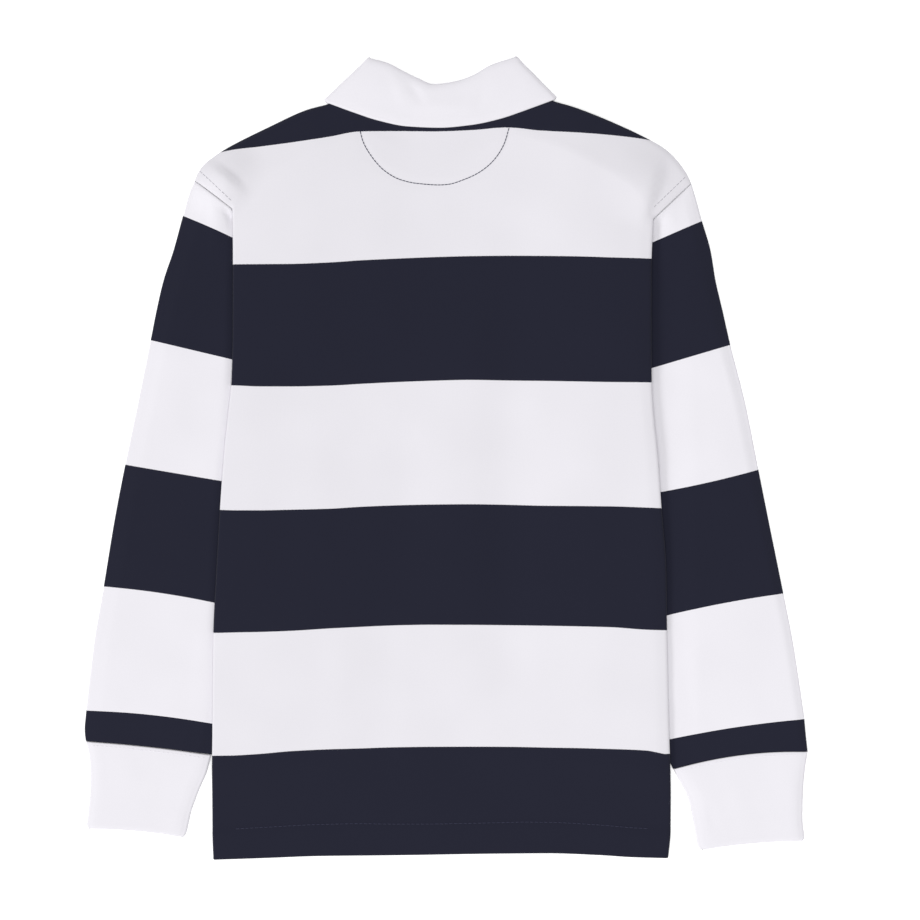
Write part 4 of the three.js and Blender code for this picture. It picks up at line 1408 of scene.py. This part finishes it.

# %% [markdown]
# The armhole seam is topstitched once on the body's side, 4 to 7 mm from the seam. It shows
# as a thin grey line, too thin to tell the thread's colour, and part of its grey is the shade in
# the small furrow the stitches pull into. The cloth has no such furrow, so a very fine navy thread
# stands in for the stitches, and its dark colour also paints the furrow's shade.

# %% Armholes
ARMHOLE_THREAD = Thread(0.10, 2.7, 0.25)
LEFT_TOPSTITCH = [(-149.6, 179.8), (-172.5, 201.3)]
RIGHT_TOPSTITCH = [(145.1, 175.4), (167.9, 197.4)]

# The navy thread here stands for the stitches and also paints the shade of their furrow.
armhole_topstitch_shade = stitch_row(
    "armhole_topstitch_painted_shade", [LEFT_TOPSTITCH, RIGHT_TOPSTITCH],
    back_tree, ARMHOLE_THREAD, navy_thread
)

# %% [markdown]
# The hem is turned up and sewn with navy thread on the navy stripe, so it shows only as a
# faint line. The seams between sleeves and cuffs are sewn in white on the cuff's side.

# %% Hem and cuff seams
HEM_THREAD = Thread(0.22, 2.8, 0.5)
CUFF_THREAD = Thread(0.16, 2.4, 0.6)
CUFF_SEAM_INSET = 2.2


def hem_path(above):
    row = np.argmin(abs(body["above_hem"][:, 0] - above))
    inner = slice(12, -12)
    return np.stack([body["x"][row, inner], body["y"][row, inner]], axis=1)


def cuff_seam_path(table):
    first, second = table[0], table[1]
    share = np.linspace(0.04, 0.96, 24)
    x = first.out_x + (first.in_x - first.out_x) * share
    y = first.out_y + (first.in_y - first.out_y) * share + first.bow * 4 * share * (1 - share)
    x2 = second.out_x + (second.in_x - second.out_x) * share
    part = CUFF_SEAM_INSET / math.hypot(second.out_x - first.out_x, second.out_y - first.out_y)
    return np.stack([x + (x2 - x) * part, y - CUFF_SEAM_INSET], axis=1)


hem_stitches = stitch_row(
    "hem_stitches", [hem_path(HEM_FOLD)], back_tree, HEM_THREAD, navy_thread
)
cuff_stitches = stitch_row(
    "cuff_stitches", [cuff_seam_path(CUFF_LEFT), cuff_seam_path(CUFF_RIGHT)],
    cloth_tree(cuff_left, cuff_right), CUFF_THREAD, white_thread
)

# %% [markdown]
# Each piece of cloth is listed with the flat size it was cut to, and the mesh's area is printed
# beside it. A sleeve and a cuff count all the way round.

# %% Flat sizes of the cloth
def sheet_area(piece):
    return sum(face.area for face in piece.data.polygons) / 2


Cut = namedtuple("Cut", "piece width length area rests_on sewing")
CUTS = [
    Cut(back, 0.348, 0.535, 0.160, ["front_panel"], [half_moon, armhole_topstitch_shade, hem_stitches]),
    Cut(front, 0.348, 0.535, 0.157, ["sleeve_left", "sleeve_right", "placket"], []),
    Cut(sleeve_left, 0.190, 0.405, 0.062, ["cuff_left"], []),
    Cut(sleeve_right, 0.200, 0.415, 0.064, ["cuff_right"], []),
    Cut(cuff_left, 0.180, 0.062, 0.0098, ["sleeve_left"], []),
    Cut(cuff_right, 0.190, 0.064, 0.0102, ["sleeve_right"], [cuff_stitches]),
    Cut(collar, 0.400, 0.085, 0.0240, ["back_panel"], []),
    Cut(placket, 0.030, 0.087, 0.0026, ["front_panel"], []),
]
for cut in CUTS:
    print(cut.piece.name, "measured m2:", round(sheet_area(cut.piece), 4), "cut:", cut.area)
